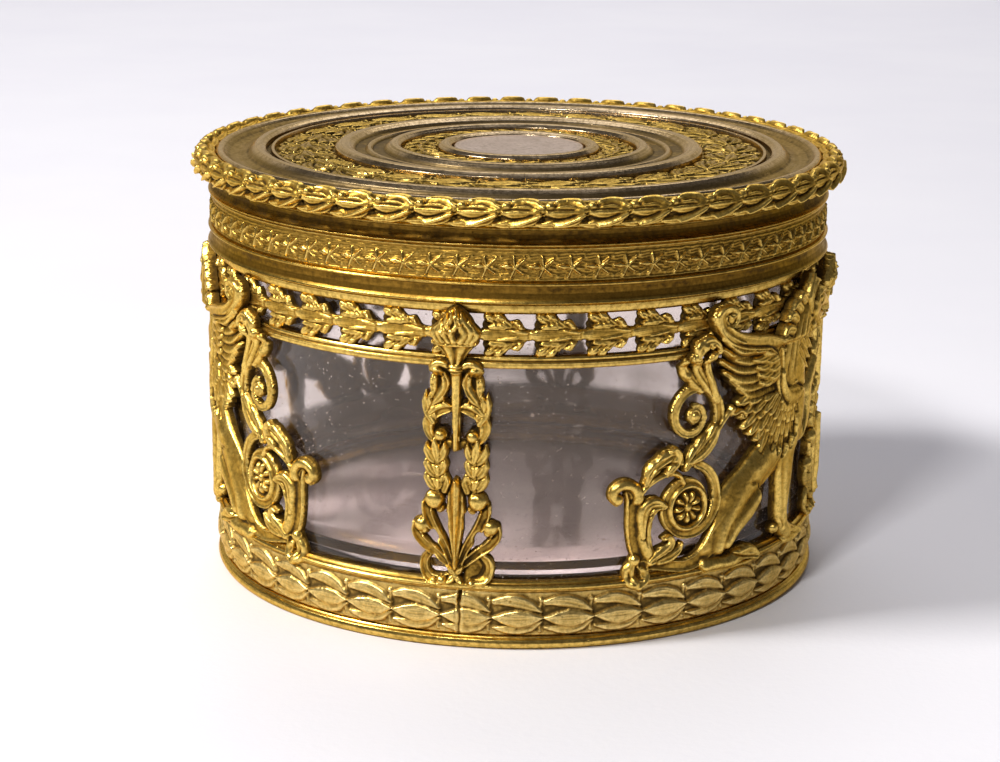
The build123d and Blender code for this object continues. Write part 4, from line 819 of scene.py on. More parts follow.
def draw_gallery(N=2480):
    L = 2 * math.pi * 46.0
    d = L / N
    g = Relief(-8.0, L + 8.0, 41.9, 48.3, d)
    g.S[:] = 1.0
    g.H[:] = 0.28
    T = L / 40
    r = rng_of(18)
    j = r.uniform(-1, 1, (41, 12))
    for k in range(-2, 42):
        q = j[k % 40]
        x = -3.6 + k * T
        for s in (1, -1):
            def m(P):
                return [(a, b if s > 0 else 90.1 - b) for a, b in P]
            # lobed oak leaf, its stalk at the right
            g.leaf(m([(x + 5.6, 45.6), (x + 4.2, 46.0), (x + 2.9, 46.5), (x + 1.7, 46.95), (x + 0.4, 47.55)]), [0.22, 0.80, 1.15, 1.25 + 0.08 * q[0], 1.0, 0.55], 0.45, 0.55, lobes=4, lobe_d=0.30, veins=0.26, mid=0.22, mode="over", vphase=0.1 * q[1])
            g.leaf(m([(x + 3.6, 46.3), (x + 2.7, 46.2), (x + 1.6, 46.1), (x + 0.6, 46.25)]), [0.25, 0.55, 0.6, 0.2], 0.85, 0.3, lobes=2, lobe_d=0.3, mid=0.14, mode="over")
            g.leaf(m([(x + 2.6, 47.0), (x + 2.2, 47.6), (x + 1.5, 47.9)]), [0.35, 0.45, 0.15], 0.75, 0.28, mid=0.1, mode="over")
            # acorn bud
            g.leaf(m([(x + 5.9, 45.7), (x + 5.3, 46.3), (x + 4.5, 46.85), (x + 3.9, 46.95)]), [0.3, 0.55, 0.55, 0.2], 0.75, 0.4, mid=0.0, mode="over")
            g.ball(x + 5.05, 46.28 if s > 0 else 90.1 - 46.28, 0.52, 0.85, 0.50)
            g.stroke(m([(x + 5.6, 46.0), (x + 6.4, 45.75), (x + 7.2, 45.6)]), 0.28, 0.5, 0.5)
            for a in (1.0, 1.9, 2.8, 3.7):
                g.groove(m([(x + a + 1.0, 46.2 + (3.0 - a) * 0.16), (x + a + 0.2, 46.9 + (3.0 - a) * 0.16), (x + a - 0.4, 47.2 + (3.0 - a) * 0.16)]), 0.10, 0.20)
            # little curls of the leaf edge, picked out bright
            for a, b in ((0.75, 47.35), (1.9, 47.55), (3.0, 47.05)):
                g.ridge(m([(x + a - 0.3, b - 0.35), (x + a + 0.05, b), (x + a + 0.45, b - 0.15)]), 0.13, 0.16)
        # stem of twisted strands
        g.stroke([(x - 0.4, 45.05), (x + 3.6, 45.05), (x + 7.6, 45.05)], [0.82, 0.95, 0.82], 0.62, 0.42, mode="over", prof="round")
        for c in (-0.5, -0.17, 0.17, 0.5):
            g.groove([(x - 0.6, 45.05 + c), (x + 2.2, 45.15 + c * 0.7), (x + 5.0, 44.95 + c), (x + 7.8, 45.05 + c)], 0.08, 0.15)
        g.leaf([(x + 6.6, 45.35), (x + 5.2, 45.5), (x + 3.8, 45.75)], [0.2, 0.3, 0.1], 0.9, 0.28, mid=0.0, mode="over")
        g.leaf([(x + 4.6, 44.75), (x + 3.2, 44.6), (x + 1.8, 44.35)], [0.2, 0.3, 0.1], 0.9, 0.28, mid=0.0, mode="over")
    # openings
    for k in range(-1, 42):
        q = j[k % 40]
        x = -3.6 + k * T
        up = [(x - 4.6, 48.35), (x - 4.35, 47.75), (x - 3.7, 47.0 + 0.12 * q[2]), (x - 3.0, 47.15), (x - 2.45, 47.2), (x - 2.0, 46.7 + 0.1 * q[3]), (x - 1.55, 46.0), (x - 0.9, 45.8), (x - 0.2, 45.85), (x - 0.28 + 0.05 * q[4], 46.5), (x + 0.02, 47.1), (x - 0.12, 47.6), (x + 0.05, 48.35)]
        dn = [(a + 0.1 * q[5], 90.1 - b) for a, b in up]
        g.cut(up)
        g.cut(dn)
    g.finish(0.5, 0.022, 41, 0.30)
    return g, L, N


def draw_stars(N=2800):
    R = 46.35
    L = 2 * math.pi * R
    d = L / N
    g = Relief(-4.0, L + 4.0, 52.8, 57.9, d)
    g.S[:] = 1.0
    # fine engine-turned lines behind the stars
    z = g.Z
    wob = 0.05 * np.sin(g.U * 2 * math.pi / (L / 76) * 2) + 0.05 * (vnoise(g.U / 1.1 + 20, g.Z / 0.8, 3) - 0.5)
    lines = np.cos((z + wob) * 2 * math.pi / 0.40)
    g.H[:] = 0.16 + 0.075 * lines * np.clip(1.6 - np.abs(z - 55.1) / 1.5, 0.15, 1)
    brk = vnoise(g.U / 0.7 + 20, g.Z / 0.25, 9)
    g.H += 0.05 * (brk - 0.5)
    n = 76
    T = L / n
    r = rng_of(12)
    j = r.uniform(-1, 1, (n + 1, 8))
    for k in range(-1, n + 1):
        q = j[k % n]
        c = 0.15 + k * T
        zc = 54.98
        for deg, ln, wd in ((98, 1.35, 0.24), (40, 1.78, 0.32), (-38, 1.45, 0.26), (-113, 1.60, 0.32), (172, 1.0, 0.2)):
            an = math.radians(deg + 3.0 * q[0])
            e = (c + ln * math.cos(an), zc + ln * math.sin(an))
            g.stroke([(c, zc), ((c + e[0]) / 2, (zc + e[1]) / 2), e], [wd, wd * 0.9, 0.10], 0.26, 0.40, mode="max", prof="ridge", step=0.3)
        g.ball(c, zc, 0.28, 0.30, 0.22)
        g.leaf([(c - 1.95, zc + 0.12), (c - 1.15, zc + 0.08), (c - 0.1, zc)], [0.10, 0.44, 0.12], 0.22, 0.34, mid=0, mode="max")
        g.leaf([(c + 0.2, zc - 0.02), (c + 1.0, zc - 0.15), (c + 1.6, zc - 0.25)], [0.08, 0.30, 0.08], 0.20, 0.24, mid=0, mode="max")
        g.ball(c + T / 2, zc - 1.35, 0.16, 0.2, 0.12)
        g.ball(c + T / 2, zc + 1.35, 0.16, 0.2, 0.12)
    # rolled edges of the band
    g.H += 0.16 * np.exp(-((z - 57.45) / 0.16) ** 2) + 0.14 * np.exp(-((z - 53.2) / 0.14) ** 2) + 0.08 * np.exp(-((z - 53.75) / 0.1) ** 2)
    g.H -= 0.10 * np.exp(-((z - 57.12) / 0.10) ** 2)
    for k in range(240):
        g.dimple(r.uniform(0, L), r.uniform(53, 57.7), r.uniform(0.06, 0.12), r.uniform(0.04, 0.14))
    g.finish(0.45, 0.012, 51)
    return g, L, N


RIM_T = 1.25


def draw_rim(N=2300):
    L = 2 * math.pi * 46.97
    d = L / N
    g = Relief(-8.0, L + 8.0, -4.7, 5.9, d)
    g.S[:] = 1.0
    g.H[:] = 0.05
    n = 52
    T = L / n
    r = rng_of(22)
    j = r.uniform(-1, 1, (n + 1, 12))
    for k in range(-1, n + 2):
        q = j[k % n]
        u = k * T
        # back leaves at the top and the fringe at the foot of the bunch
        g.leaf([(u - 1.2, 3.6), (u + 1.0, 4.2), (u + 3.4, 4.35), (u + 6.2, 3.9)], [0.5, 0.85, 0.85, 0.25], 0.34, 0.26, mid=0.10, mode="over")
        g.leaf([(u - 0.4, -3.4), (u + 1.2, -3.3), (u + 2.8, -2.7), (u + 4.0, -1.9)], [0.3, 0.6, 0.6, 0.12], 0.05, 0.42, mid=0.16, mode="over")
        g.leaf([(u + 2.4, -3.8), (u + 3.8, -3.5), (u + 5.2, -2.9), (u + 6.4, -2.2)], [0.3, 0.55, 0.55, 0.12], 0.04, 0.40, mid=0.16, mode="over")
        # low leaf, coming out from under the bunch before
        g.leaf([(u - 0.6, -1.5), (u + 1.0, -1.55 + 0.1 * q[1]), (u + 2.8, -1.2), (u + 4.4, -0.55), (u + 5.6, 0.2)], [0.3, 0.95, 1.05, 0.85, 0.15], 0.22, 0.50, mid=0.26, mode="over", curl=-0.10)
    for k in range(-1, n + 2):
        q = j[k % n]
        u = k * T
        # broad middle leaf
        g.leaf([(u + 0.1, 0.75), (u + 1.4, 0.85), (u + 3.0, 1.0 + 0.1 * q[4]), (u + 4.6, 0.95), (u + 6.05, 0.72)], [0.35, 1.10, 1.45 + 0.08 * q[3], 1.25, 0.06], 0.42, 0.46, mid=0.0, mode="over", curl=0.10)
        g.groove([(u + 0.5, 1.0), (u + 2.3, 1.15), (u + 4.5, 1.05)], 0.16, 0.42)
        g.groove([(u + 1.2, 0.35), (u + 2.8, 0.30), (u + 4.4, 0.45)], 0.09, 0.14)
        # fat bright lobe over its top, hooking down to the point
        g.stroke([(u + 1.9, 2.25), (u + 3.2, 2.70), (u + 4.6, 2.50), (u + 5.6, 1.65), (u + 6.15, 0.65)], [0.28, 0.58, 0.74, 0.62, 0.12], 0.62, 0.52, mode="max")
        g.groove([(u + 2.3, 1.70), (u + 3.6, 1.85), (u + 4.8, 1.35)], 0.11, 0.30)
        # turned-up lower edge, a bright straight blade with a dark gap under it
        g.groove([(u + 1.7, -1.75), (u + 3.2, -1.25), (u + 4.8, -0.45), (u + 6.3, 0.35)], 0.28, 0.55)
        g.stroke([(u + 1.6, -1.25), (u + 3.1, -0.75), (u + 4.6, -0.1), (u + 6.1, 0.62)], [0.14, 0.30, 0.32, 0.12], 0.72, 0.52, mode="max")
        g.groove([(u + 1.4, -0.75), (u + 3.0, -0.20), (u + 4.6, 0.40)], 0.13, 0.34)
    for k in range(-1, n + 2):
        q = j[k % n]
        u = k * T
        # dark hollow round the berry, and the berry
        g.dimple(u + 0.15, 2.0, 0.42, 0.40)
        g.dimple(u + 1.75, 1.75, 0.36, 0.42)
        g.dimple(u + 1.0, 2.75, 0.40, 0.30)
        g.ball(u + 0.95 + 0.08 * q[5], 1.75 + 0.06 * q[6], 0.68, 0.42, 0.68)
        g.groove([(u + 0.35, 0.9), (u + 0.05, 0.1), (u + 0.3, -0.8)], 0.16, 0.35)
    g.finish(0.45, 0.040, 61)
    return g, L, N


def draw_outer_band(N=1560):
    Rm = 32.3
    L = 2 * math.pi * Rm
    d = L / N
    g = Relief(-6.0, L + 6.0, 27.7, 36.9, d)
    g.S[:] = 1.0
    g.H[:] = 0.10
    n = 26
    T = L / n
    r = rng_of(32)
    j = r.uniform(-1, 1, (n + 1, 8))
    for k in range(-1, n + 1):
        q = j[k % n]
        u = k * T
        c = 32.3
        for s in (-1, 1):
            g.leaf([(u + 0.2, c + 0.5 * s), (u + 1.8, c + 2.3 * s), (u + 4.0, c + 3.3 * s), (u + 6.2, c + 3.2 * s)], [0.3, 0.85, 0.95, 0.12], 0.22, 0.42, mid=0.18, mode="over")
            g.leaf([(u + 2.2, c + 0.6 * s), (u + 3.8, c + 1.5 * s), (u + 5.4, c + 1.9 * s), (u + 7.2, c + 1.7 * s)], [0.25, 0.75, 0.8, 0.1], 0.32, 0.42, mid=0.18, mode="over")
            g.ball(u + 7.1, c + 3.5 * s, 0.42, 0.2, 0.42)
            g.ball(u + 0.6, c + 2.9 * s, 0.36, 0.2, 0.38)
            g.stroke([(u + 5.9, c + 0.2 * s), (u + 6.8, c + 1.4 * s), (u + 7.1, c + 3.1 * s)], 0.16, 0.25, 0.25)
            g.leaf([(u + 1.2, c + 3.4 * s), (u + 0.4, c + 3.9 * s), (u - 0.6, c + 4.0 * s)], [0.35, 0.4, 0.1], 0.2, 0.3, mid=0.1, mode="over")
        g.leaf([(u - 0.4, c), (u + 1.6, c + 0.1 * q[0]), (u + 3.6, c), (u + 5.8, c)], [0.35, 0.95, 1.0, 0.12], 0.42, 0.42, mid=0.2, mode="over")
        g.ball(u + 6.9, c, 0.52, 0.35, 0.40)
        g.stroke([(u + 6.0, c - 0.9), (u + 7.6, c + 0.9)], 0.2, 0.35, 0.25)
        g.stroke([(u + 6.0, c + 0.9), (u + 7.6, c - 0.9)], 0.2, 0.35, 0.25)
    # stippled ground
    for k in range(2600):
        g.dimple(r.uniform(0, L), r.uniform(28, 36.6), 0.10, 0.05)
    g.finish(0.5, 0.03, 71)
    return g, L, N


def draw_inner_band(N=980):
    Rm = 15.0
    L = 2 * math.pi * Rm
    d = L / N
    g = Relief(-4.0, L + 4.0, 12.1, 17.9, d)
    g.S[:] = 1.0
    g.H[:] = 0.10
    n = 30
    T = L / n
    for k in range(-1, n + 1):
        u = k * T
        c = 15.0
        for s in (-1, 1):
            g.leaf([(u, c + 0.2 * s), (u + 0.9, c + 1.3 * s), (u + 2.2, c + 2.1 * s), (u + 3.2, c + 2.0 * s)], [0.2, 0.6, 0.6, 0.1], 0.2, 0.40, mid=0.14, mode="over")
            g.ball(u + 0.5, c + 2.2 * s, 0.3, 0.18, 0.3)
            g.stroke([(u + 2.2, c), (u + 2.9, c + 0.9 * s), (u + 2.7, c + 1.6 * s)], 0.14, 0.3, 0.22)
        g.leaf([(u - 0.3, c), (u + 1.1, c), (u + 2.6, c)], [0.2, 0.62, 0.1], 0.38, 0.36, mid=0.14, mode="over")
        g.ball(u + 2.9, c, 0.32, 0.3, 0.3)
    g.finish(0.5, 0.03, 81)
    return g, L, N


def g_crop(g, L):
    # one full turn, its ends meeting under a side torch
    start = 46.0 * math.pi / 2 - 0.06
    j0 = int(round((start - g.u[0]) / g.d))
    n = int(round(L / g.d))
    idx = j0 + np.arange(n + 1)
    base = int(round((0 - g.u[0]) / g.d))
    idx = base + (idx - base) % n
    k = Relief(0, 1, 0, 1, 1.0)
    k.d = g.d
    k.u = g.u[j0] + np.arange(n + 1) * g.d
    k.z = g.z
    k.S = g.S[:, idx]
    k.H = g.H[:, idx]
    k.C = g.C[:, idx]
    # closes the cut top and bottom
    k.S[0, :] = np.minimum(k.S[0, :], -0.05)
    k.S[-1, :] = np.minimum(k.S[-1, :], -0.05)
    return k
# ---------------------------------------------------------------- meshes
def add_mesh(name, V, quads=None, tris=None, cav=None, mat=None, smooth=True, extra=None):
    quads = np.zeros((0, 4), np.int64) if quads is None else np.asarray(quads)
    tris = np.zeros((0, 3), np.int64) if tris is None else np.asarray(tris)
    me = bpy.data.meshes.new(name)
    V = np.asarray(V, float) * MM
    me.vertices.add(len(V))
    me.vertices.foreach_set("co", V.astype(np.float32).ravel())
    nq, nt = len(quads), len(tris)
    me.loops.add(nq * 4 + nt * 3)
    me.loops.foreach_set("vertex_index", np.concatenate([quads.ravel(), tris.ravel()]).astype(np.int32))
    me.polygons.add(nq + nt)
    me.polygons.foreach_set("loop_start", np.concatenate([np.arange(nq) * 4, nq * 4 + np.arange(nt) * 3]).astype(np.int32))
    if smooth:
        me.polygons.foreach_set("use_smooth", np.ones(nq + nt, bool))
    me.update(calc_edges=True)
    me.validate()
    if cav is not None:
        at = me.attributes.new("cavity", "FLOAT", "POINT")
        at.data.foreach_set("value", np.asarray(cav, np.float32))
    o = bpy.data.objects.new(name, me)
    bpy.context.scene.collection.objects.link(o)
    if mat is not None:
        me.materials.append(mat)
    return o


def fillet(P, r):
    # closed outline (r, z) with its corners rounded
    P = np.array(P, float)
    n = len(P)
    rad = np.broadcast_to(np.array(r, float), (n,))
    out = []
    for i in range(n):
        a, b, c = P[i - 1], P[i], P[(i + 1) % n]
        u, v = a - b, c - b
        lu, lv = np.hypot(*u), np.hypot(*v)
        u, v = u / lu, v / lv
        cosang = float(np.clip(u @ v, -1, 1))
        if cosang < -0.999 or rad[i] <= 0:
            out.append(b)
            continue
        half = math.acos(cosang) / 2
        t = min(rad[i] / math.tan(half), 0.45 * lu, 0.45 * lv)
        p0, p1 = b + u * t, b + v * t
        k = 5
        for q in range(k + 1):
            s = q / k
            out.append((1 - s) ** 2 * p0 + 2 * s * (1 - s) * b + s * s * p1)
    return np.array(out)


def resample(P, step):
    out = []
    n = len(P)
    for i in range(n):
        a, b = P[i], P[(i + 1) % n]
        L = np.hypot(*(b - a))
        m = max(1, int(L / step))
        for k in range(m):
            out.append(a + (b - a) * k / m)
    return np.array(out)


def turn(name, P, mat, r=0.12, n=720, step=0.5, wob=0.0, seed=1):
    """A ring or plate turned from a closed outline of (radius, height)."""
    Q = resample(fillet(P, r), step)
    # corner by corner measure of how sunk a point is, for the patina and the painted shade in the hollows
    m = len(Q)
    area = 0.5 * np.sum(Q[:, 0] * np.roll(Q[:, 1], -1) - np.roll(Q[:, 0], -1) * Q[:, 1])
    s = 1 if area > 0 else -1
    arclen = np.r_[0, np.cumsum(np.hypot(*(np.roll(Q, -1, 0) - Q).T))]
    L = arclen[-1]
    at = arclen[:-1]
    cav = np.zeros(m)
    for rad, wt in ((0.25, 0.5), (0.7, 0.5)):
        ra = np.interp((at + rad) % L, at, Q[:, 0], period=L), np.interp((at + rad) % L, at, Q[:, 1], period=L)
        rb = np.interp((at - rad) % L, at, Q[:, 0], period=L), np.interp((at - rad) % L, at, Q[:, 1], period=L)
        mx, mz = (ra[0] + rb[0]) / 2 - Q[:, 0], (ra[1] + rb[1]) / 2 - Q[:, 1]
        tx, tz = ra[0] - rb[0], ra[1] - rb[1]
        tl = np.maximum(np.hypot(tx, tz), 1e-6)
        # outward normal of the outline
        nx, nz = s * tz / tl, -s * tx / tl
        cav += wt * (mx * nx + mz * nz) / rad * 2.2
    cav = np.clip(0.45 + cav, 0, 1)
    th = np.arange(n) * TAU / n
    rr = Q[:, 0][None, :] + wob * np.sin(th * 3 + seed)[:, None] * (Q[:, 0][None, :] > 1)
    X = rr * np.sin(th)[:, None]
    Y = -rr * np.cos(th)[:, None]
    Z = np.broadcast_to(Q[:, 1][None, :], X.shape)
    V = np.stack([X, Y, Z], -1).reshape(-1, 3)
    i, j = np.meshgrid(np.arange(n), np.arange(m), indexing="ij")
    a = i * m + j
    b = ((i + 1) % n) * m + j
    c = ((i + 1) % n) * m + (j + 1) % m
    d = i * m + (j + 1) % m
    q = np.stack([a, b, c, d], -1).reshape(-1, 4)
    if s < 0:
        q = q[:, ::-1]
    # points on the axis fall together; drop the flat faces there
    onax = (Q[:, 0] < 1e-6)
    keep = ~(onax[j] & onax[(j + 1) % m]).reshape(-1)
    q = q[keep]
    return add_mesh(name, V, quads=q, cav=np.tile(cav, n), mat=mat)


def wrap_band(name, g, L, N, place, back, mat, flip=False):
    """A relief band closed round the box. place(u, v, h) gives points, back is a list of (v, h) rows that close it."""
    j0 = int(round((0 - g.u[0]) / g.d))
    rows = np.arange(g.H.shape[0])
    H = g.H[:, j0:j0 + N]
    C = g.C[:, j0:j0 + N]
    u = np.arange(N) * L / N
    ni = len(rows)
    V = [place(u[None, :].repeat(ni, 0), g.z[:, None].repeat(N, 1), H).reshape(-1, 3)]
    cav = [C.ravel()]
    for v, h in back:
        V.append(place(u, np.full(N, float(v)), np.full(N, float(h))).reshape(-1, 3))
        # the closing rows get a middling cavity value: a little painted shade and patina on them
        cav.append(np.full(N, 0.6))
    R = ni + len(back)
    i, j = np.meshgrid(np.arange(R), np.arange(N), indexing="ij")
    q = np.stack([i * N + j, i * N + (j + 1) % N, ((i + 1) % R) * N + (j + 1) % N, ((i + 1) % R) * N + j], -1).reshape(-1, 4)
    if flip:
        q = q[:, ::-1]
    return add_mesh(name, np.vstack(V), quads=q, cav=np.concatenate(cav), mat=mat)


def casting(name, g, place, mat, flip=False, back_step=3, back_h=0.0):
    """A pierced casting: relief face, side walls, and a plain back."""
    P, h, c, quads, tris, rim = contour_mesh(g.S, g.H, g.C, None)
    u = g.u[0] + P[:, 1] * g.d
    z = g.z[0] + P[:, 0] * g.d
    front = place(u, z, h)
    n0 = len(front)
    # walls with their own points, so that the edge stays crisp
    ids = np.unique(rim)
    m = np.full(n0, -1, np.int64)
    m[ids] = np.arange(len(ids))
    k = len(ids)
    top = front[ids]
    mid = place(u[ids], z[ids], h[ids] * 0.45)
    bot = place(u[ids], z[ids], np.full(k, back_h))
    a, b = m[rim[:, 0]] + n0, m[rim[:, 1]] + n0
    wall = np.vstack([np.stack([b, a, a + k, b + k], 1), np.stack([b + k, a + k, a + 2 * k, b + 2 * k], 1)])
    V = [front, top, mid, bot]
    # the walls get high cavity values, rising towards the back: painted shade on the sides of the casting, along with
    # the patina
    cav = [c, np.full(k, 0.62), np.full(k, 0.80), np.full(k, 0.85)]
    nb = n0 + 3 * k
    s = back_step
    S2 = g.S[::s, ::s]
    P2, h2, c2, q2, t2, r2 = contour_mesh(S2 - 0.03, S2 * 0, S2 * 0, None)
    V.append(place(g.u[0] + P2[:, 1] * g.d * s, g.z[0] + P2[:, 0] * g.d * s, np.full(len(P2), back_h)))
    cav.append(np.full(len(P2), 0.8))
    Q = np.vstack([quads, wall, (q2 + nb)[:, ::-1]])
    T = np.vstack([tris, (t2 + nb)[:, ::-1]])
    if flip:
        Q, T = Q[:, ::-1], T[:, ::-1]
    return add_mesh(name, np.vstack(V), quads=Q, tris=T, cav=np.concatenate(cav), mat=mat)


def back_radius(z):
    t = np.clip((z - 39.3) / 1.2, 0, 1)
    return 44.85 + 1.1 * t * t * (3 - 2 * t)


def on_wall(theta0=0.0, sgn=1.0):
    def f(u, z, h):
        th = theta0 + sgn * u / 46.0
        R = back_radius(z) + h
        return np.stack([R * np.sin(th), -R * np.cos(th), np.broadcast_to(z, th.shape)], -1)
    return f


def on_drum(R0, perR):
    def f(u, z, h):
        th = u / perR
        R = R0 + h
        return np.stack([R * np.sin(th), -R * np.cos(th), np.broadcast_to(z, th.shape)], -1)
    return f
# ---------------------------------------------------------------- materials
class Nodes:
    def __init__(self, mat):
        mat.use_nodes = True
        self.t = mat.node_tree
        self.t.nodes.clear()

    def n(self, kind, **kw):
        nd = self.t.nodes.new(kind)
        ins = kw.pop("ins", {})
        for k, v in kw.items():
            setattr(nd, k, v)
        for k, v in ins.items():
            s = nd.inputs[k]
            if isinstance(v, bpy.types.NodeSocket):
                self.t.links.new(v, s)
            elif v is not None:
                s.default_value = v
        return nd

    def math(self, op, a, b=0.0, clamp=False):
        nd = self.n("ShaderNodeMath", operation=op, use_clamp=clamp)
        for i, v in enumerate((a, b)):
            if isinstance(v, bpy.types.NodeSocket):
                self.t.links.new(v, nd.inputs[i])
            else:
                nd.inputs[i].default_value = v
        return nd.outputs[0]

    def remap(self, v, a, b, c=0.0, d=1.0):
        nd = self.n("ShaderNodeMapRange", clamp=True)
        self.t.links.new(v, nd.inputs["Value"])
        nd.inputs["From Min"].default_value = a
        nd.inputs["From Max"].default_value = b
        nd.inputs["To Min"].default_value = c
        nd.inputs["To Max"].default_value = d
        return nd.outputs[0]

    def mix(self, f, a, b, kind="MIX"):
        nd = self.n("ShaderNodeMix", data_type="RGBA", blend_type=kind)
        for k, v in (("Factor", f), ("A", a), ("B", b)):
            s = [x for x in nd.inputs if x.name == k and x.enabled][0]
            if isinstance(v, bpy.types.NodeSocket):
                self.t.links.new(v, s)
            elif k == "Factor":
                s.default_value = v
            else:
                s.default_value = (v[0], v[1], v[2], 1.0)
        return [x for x in nd.outputs if x.enabled][0]

    def noise(self, vec, scale, detail=3.0, rough=0.55, dist=0.0):
        nd = self.n("ShaderNodeTexNoise", ins={"Vector": vec, "Scale": scale, "Detail": detail, "Roughness": rough, "Distortion": dist})
        return nd.outputs["Fac"]


def gilt(name, bright, body, patina_shade_col, turned=0.0, dull=0.0, rough=(0.22, 0.42), pits=0.5, grain=1.0, stain=0.5, polish=1.0):
    mat = bpy.data.materials.new(name)
    N = Nodes(mat)
    tc = N.n("ShaderNodeTexCoord")
    obj = tc.outputs["Object"]
    cav = N.n("ShaderNodeAttribute", attribute_name="cavity").outputs["Fac"]
    # round-the-axis lines: height and radius only, so they run round the box
    sep = N.n("ShaderNodeSeparateXYZ", ins={"Vector": obj})
    rr = N.math("SQRT", N.math("ADD", N.math("MULTIPLY", sep.outputs[0], sep.outputs[0]), N.math("MULTIPLY", sep.outputs[1], sep.outputs[1])))
    ring = N.n("ShaderNodeCombineXYZ", ins={"X": rr, "Y": 0.0, "Z": sep.outputs[2]}).outputs[0]
    big = N.noise(obj, 60.0, 4.0, 0.6)
    mid = N.noise(obj, 260.0, 4.0, 0.6, 0.3)
    fine = N.noise(obj, 1500.0, 3.0, 0.6)
    sand = N.noise(obj, 4200.0, 2.0, 0.6)
    # patina and painted shade sit in the hollows, broken up by noise: the cavity darkening stands in for the shade that
    # falls there
    if turned:
        cav = N.math("ADD", N.math("MULTIPLY", N.math("SUBTRACT", cav, 0.5), 0.62), 0.47)
    c1 = N.math("ADD", cav, N.math("MULTIPLY", N.math("SUBTRACT", mid, 0.5), 0.50))
    c1 = N.math("ADD", c1, N.math("MULTIPLY", N.math("SUBTRACT", fine, 0.5), 0.45))
    c1 = N.math("ADD", c1, N.math("MULTIPLY", N.math("SUBTRACT", big, 0.5), 0.45 * stain))
    patina_and_shade = N.remap(c1, 0.49, 0.78)
    deep = N.remap(c1, 0.66, 0.96)
    wear = N.remap(N.math("SUBTRACT", cav, N.math("MULTIPLY", N.math("SUBTRACT", mid, 0.5), 0.25)), 0.47, 0.20)
    col = N.mix(N.remap(big, 0.30, 0.72), body, [x * 0.80 for x in body])
    col = N.mix(N.math("MULTIPLY", wear, 0.85 * polish), col, bright)
    col = N.mix(N.remap(fine, 0.44, 0.66, 0.0, 0.62), col, [x * 0.50 for x in body])
    col = N.mix(N.remap(sand, 0.50, 0.72, 0.0, 0.45), col, [x * 0.42 for x in body])
    col = N.mix(N.math("MULTIPLY", patina_and_shade, 0.80), col, patina_shade_col)
    # the deepest hollows go nearly black: painted shade
    col = N.mix(N.math("MULTIPLY", deep, 0.85), col, [x * 0.25 for x in patina_shade_col])
    # dark specks
    vor = N.n("ShaderNodeTexVoronoi", feature="F1", ins={"Vector": obj, "Scale": 900.0})
    spk = N.math("MULTIPLY", N.remap(vor.outputs["Distance"], 0.16, 0.06), N.remap(N.noise(obj, 120.0, 2.0), 0.50, 0.66))
    spk = N.math("MULTIPLY", spk, pits)
    col = N.mix(N.math("MULTIPLY", spk, 0.85), col, [x * 0.20 for x in patina_shade_col])
    if dull:
        col = N.mix(dull, col, [0.30, 0.22, 0.12])
    ro = N.math("ADD", rough[0], N.math("MULTIPLY", mid, rough[1] - rough[0]))
    ro = N.math("ADD", ro, N.math("MULTIPLY", patina_and_shade, 0.22))
    ro = N.math("ADD", ro, N.math("MULTIPLY", deep, 0.15))
    ro = N.math("SUBTRACT", ro, N.math("MULTIPLY", wear, 0.10))
    hgt = N.math("ADD", N.math("MULTIPLY", fine, 0.62 * grain), N.math("MULTIPLY", mid, 0.9 * grain))
    hgt = N.math("ADD", hgt, N.math("MULTIPLY", sand, 0.30 * grain))
    hgt = N.math("SUBTRACT", hgt, N.math("MULTIPLY", spk, 1.4))
    if turned:
        ln = N.n("ShaderNodeTexNoise", ins={"Vector": ring, "Scale": 2600.0, "Detail": 3.0, "Roughness": 0.7}).outputs["Fac"]
        brk = N.remap(N.noise(obj, 90.0, 2.0), 0.35, 0.6)
        col = N.mix(N.math("MULTIPLY", N.remap(ln, 0.46, 0.64, 0.0, 0.62 * min(1.0, turned)), N.remap(brk, 0.0, 1.0, 0.45, 1.0)), col, [x * 0.40 for x in body])
        hgt = N.math("ADD", hgt, N.math("MULTIPLY", N.math("MULTIPLY", ln, brk), 1.3 * turned))
        ro = N.math("ADD", ro, N.math("MULTIPLY", N.math("SUBTRACT", ln, 0.5), 0.12 * turned))
    bump = N.n("ShaderNodeBump", ins={"Strength": 0.55, "Distance": 0.00006, "Height": hgt})
    b = N.n("ShaderNodeBsdfPrincipled", ins={"Base Color": col, "Roughness": ro, "Normal": bump.outputs[0], "Metallic": 1.0, "Specular Tint": (0.96, 0.78, 0.48, 1)})
    met = N.math("SUBTRACT", 1.0, N.math("MULTIPLY", deep, 0.55))
    N.t.links.new(met, b.inputs["Metallic"])
    out = N.n("ShaderNodeOutputMaterial")
    N.t.links.new(b.outputs[0], out.inputs["Surface"])
    return mat


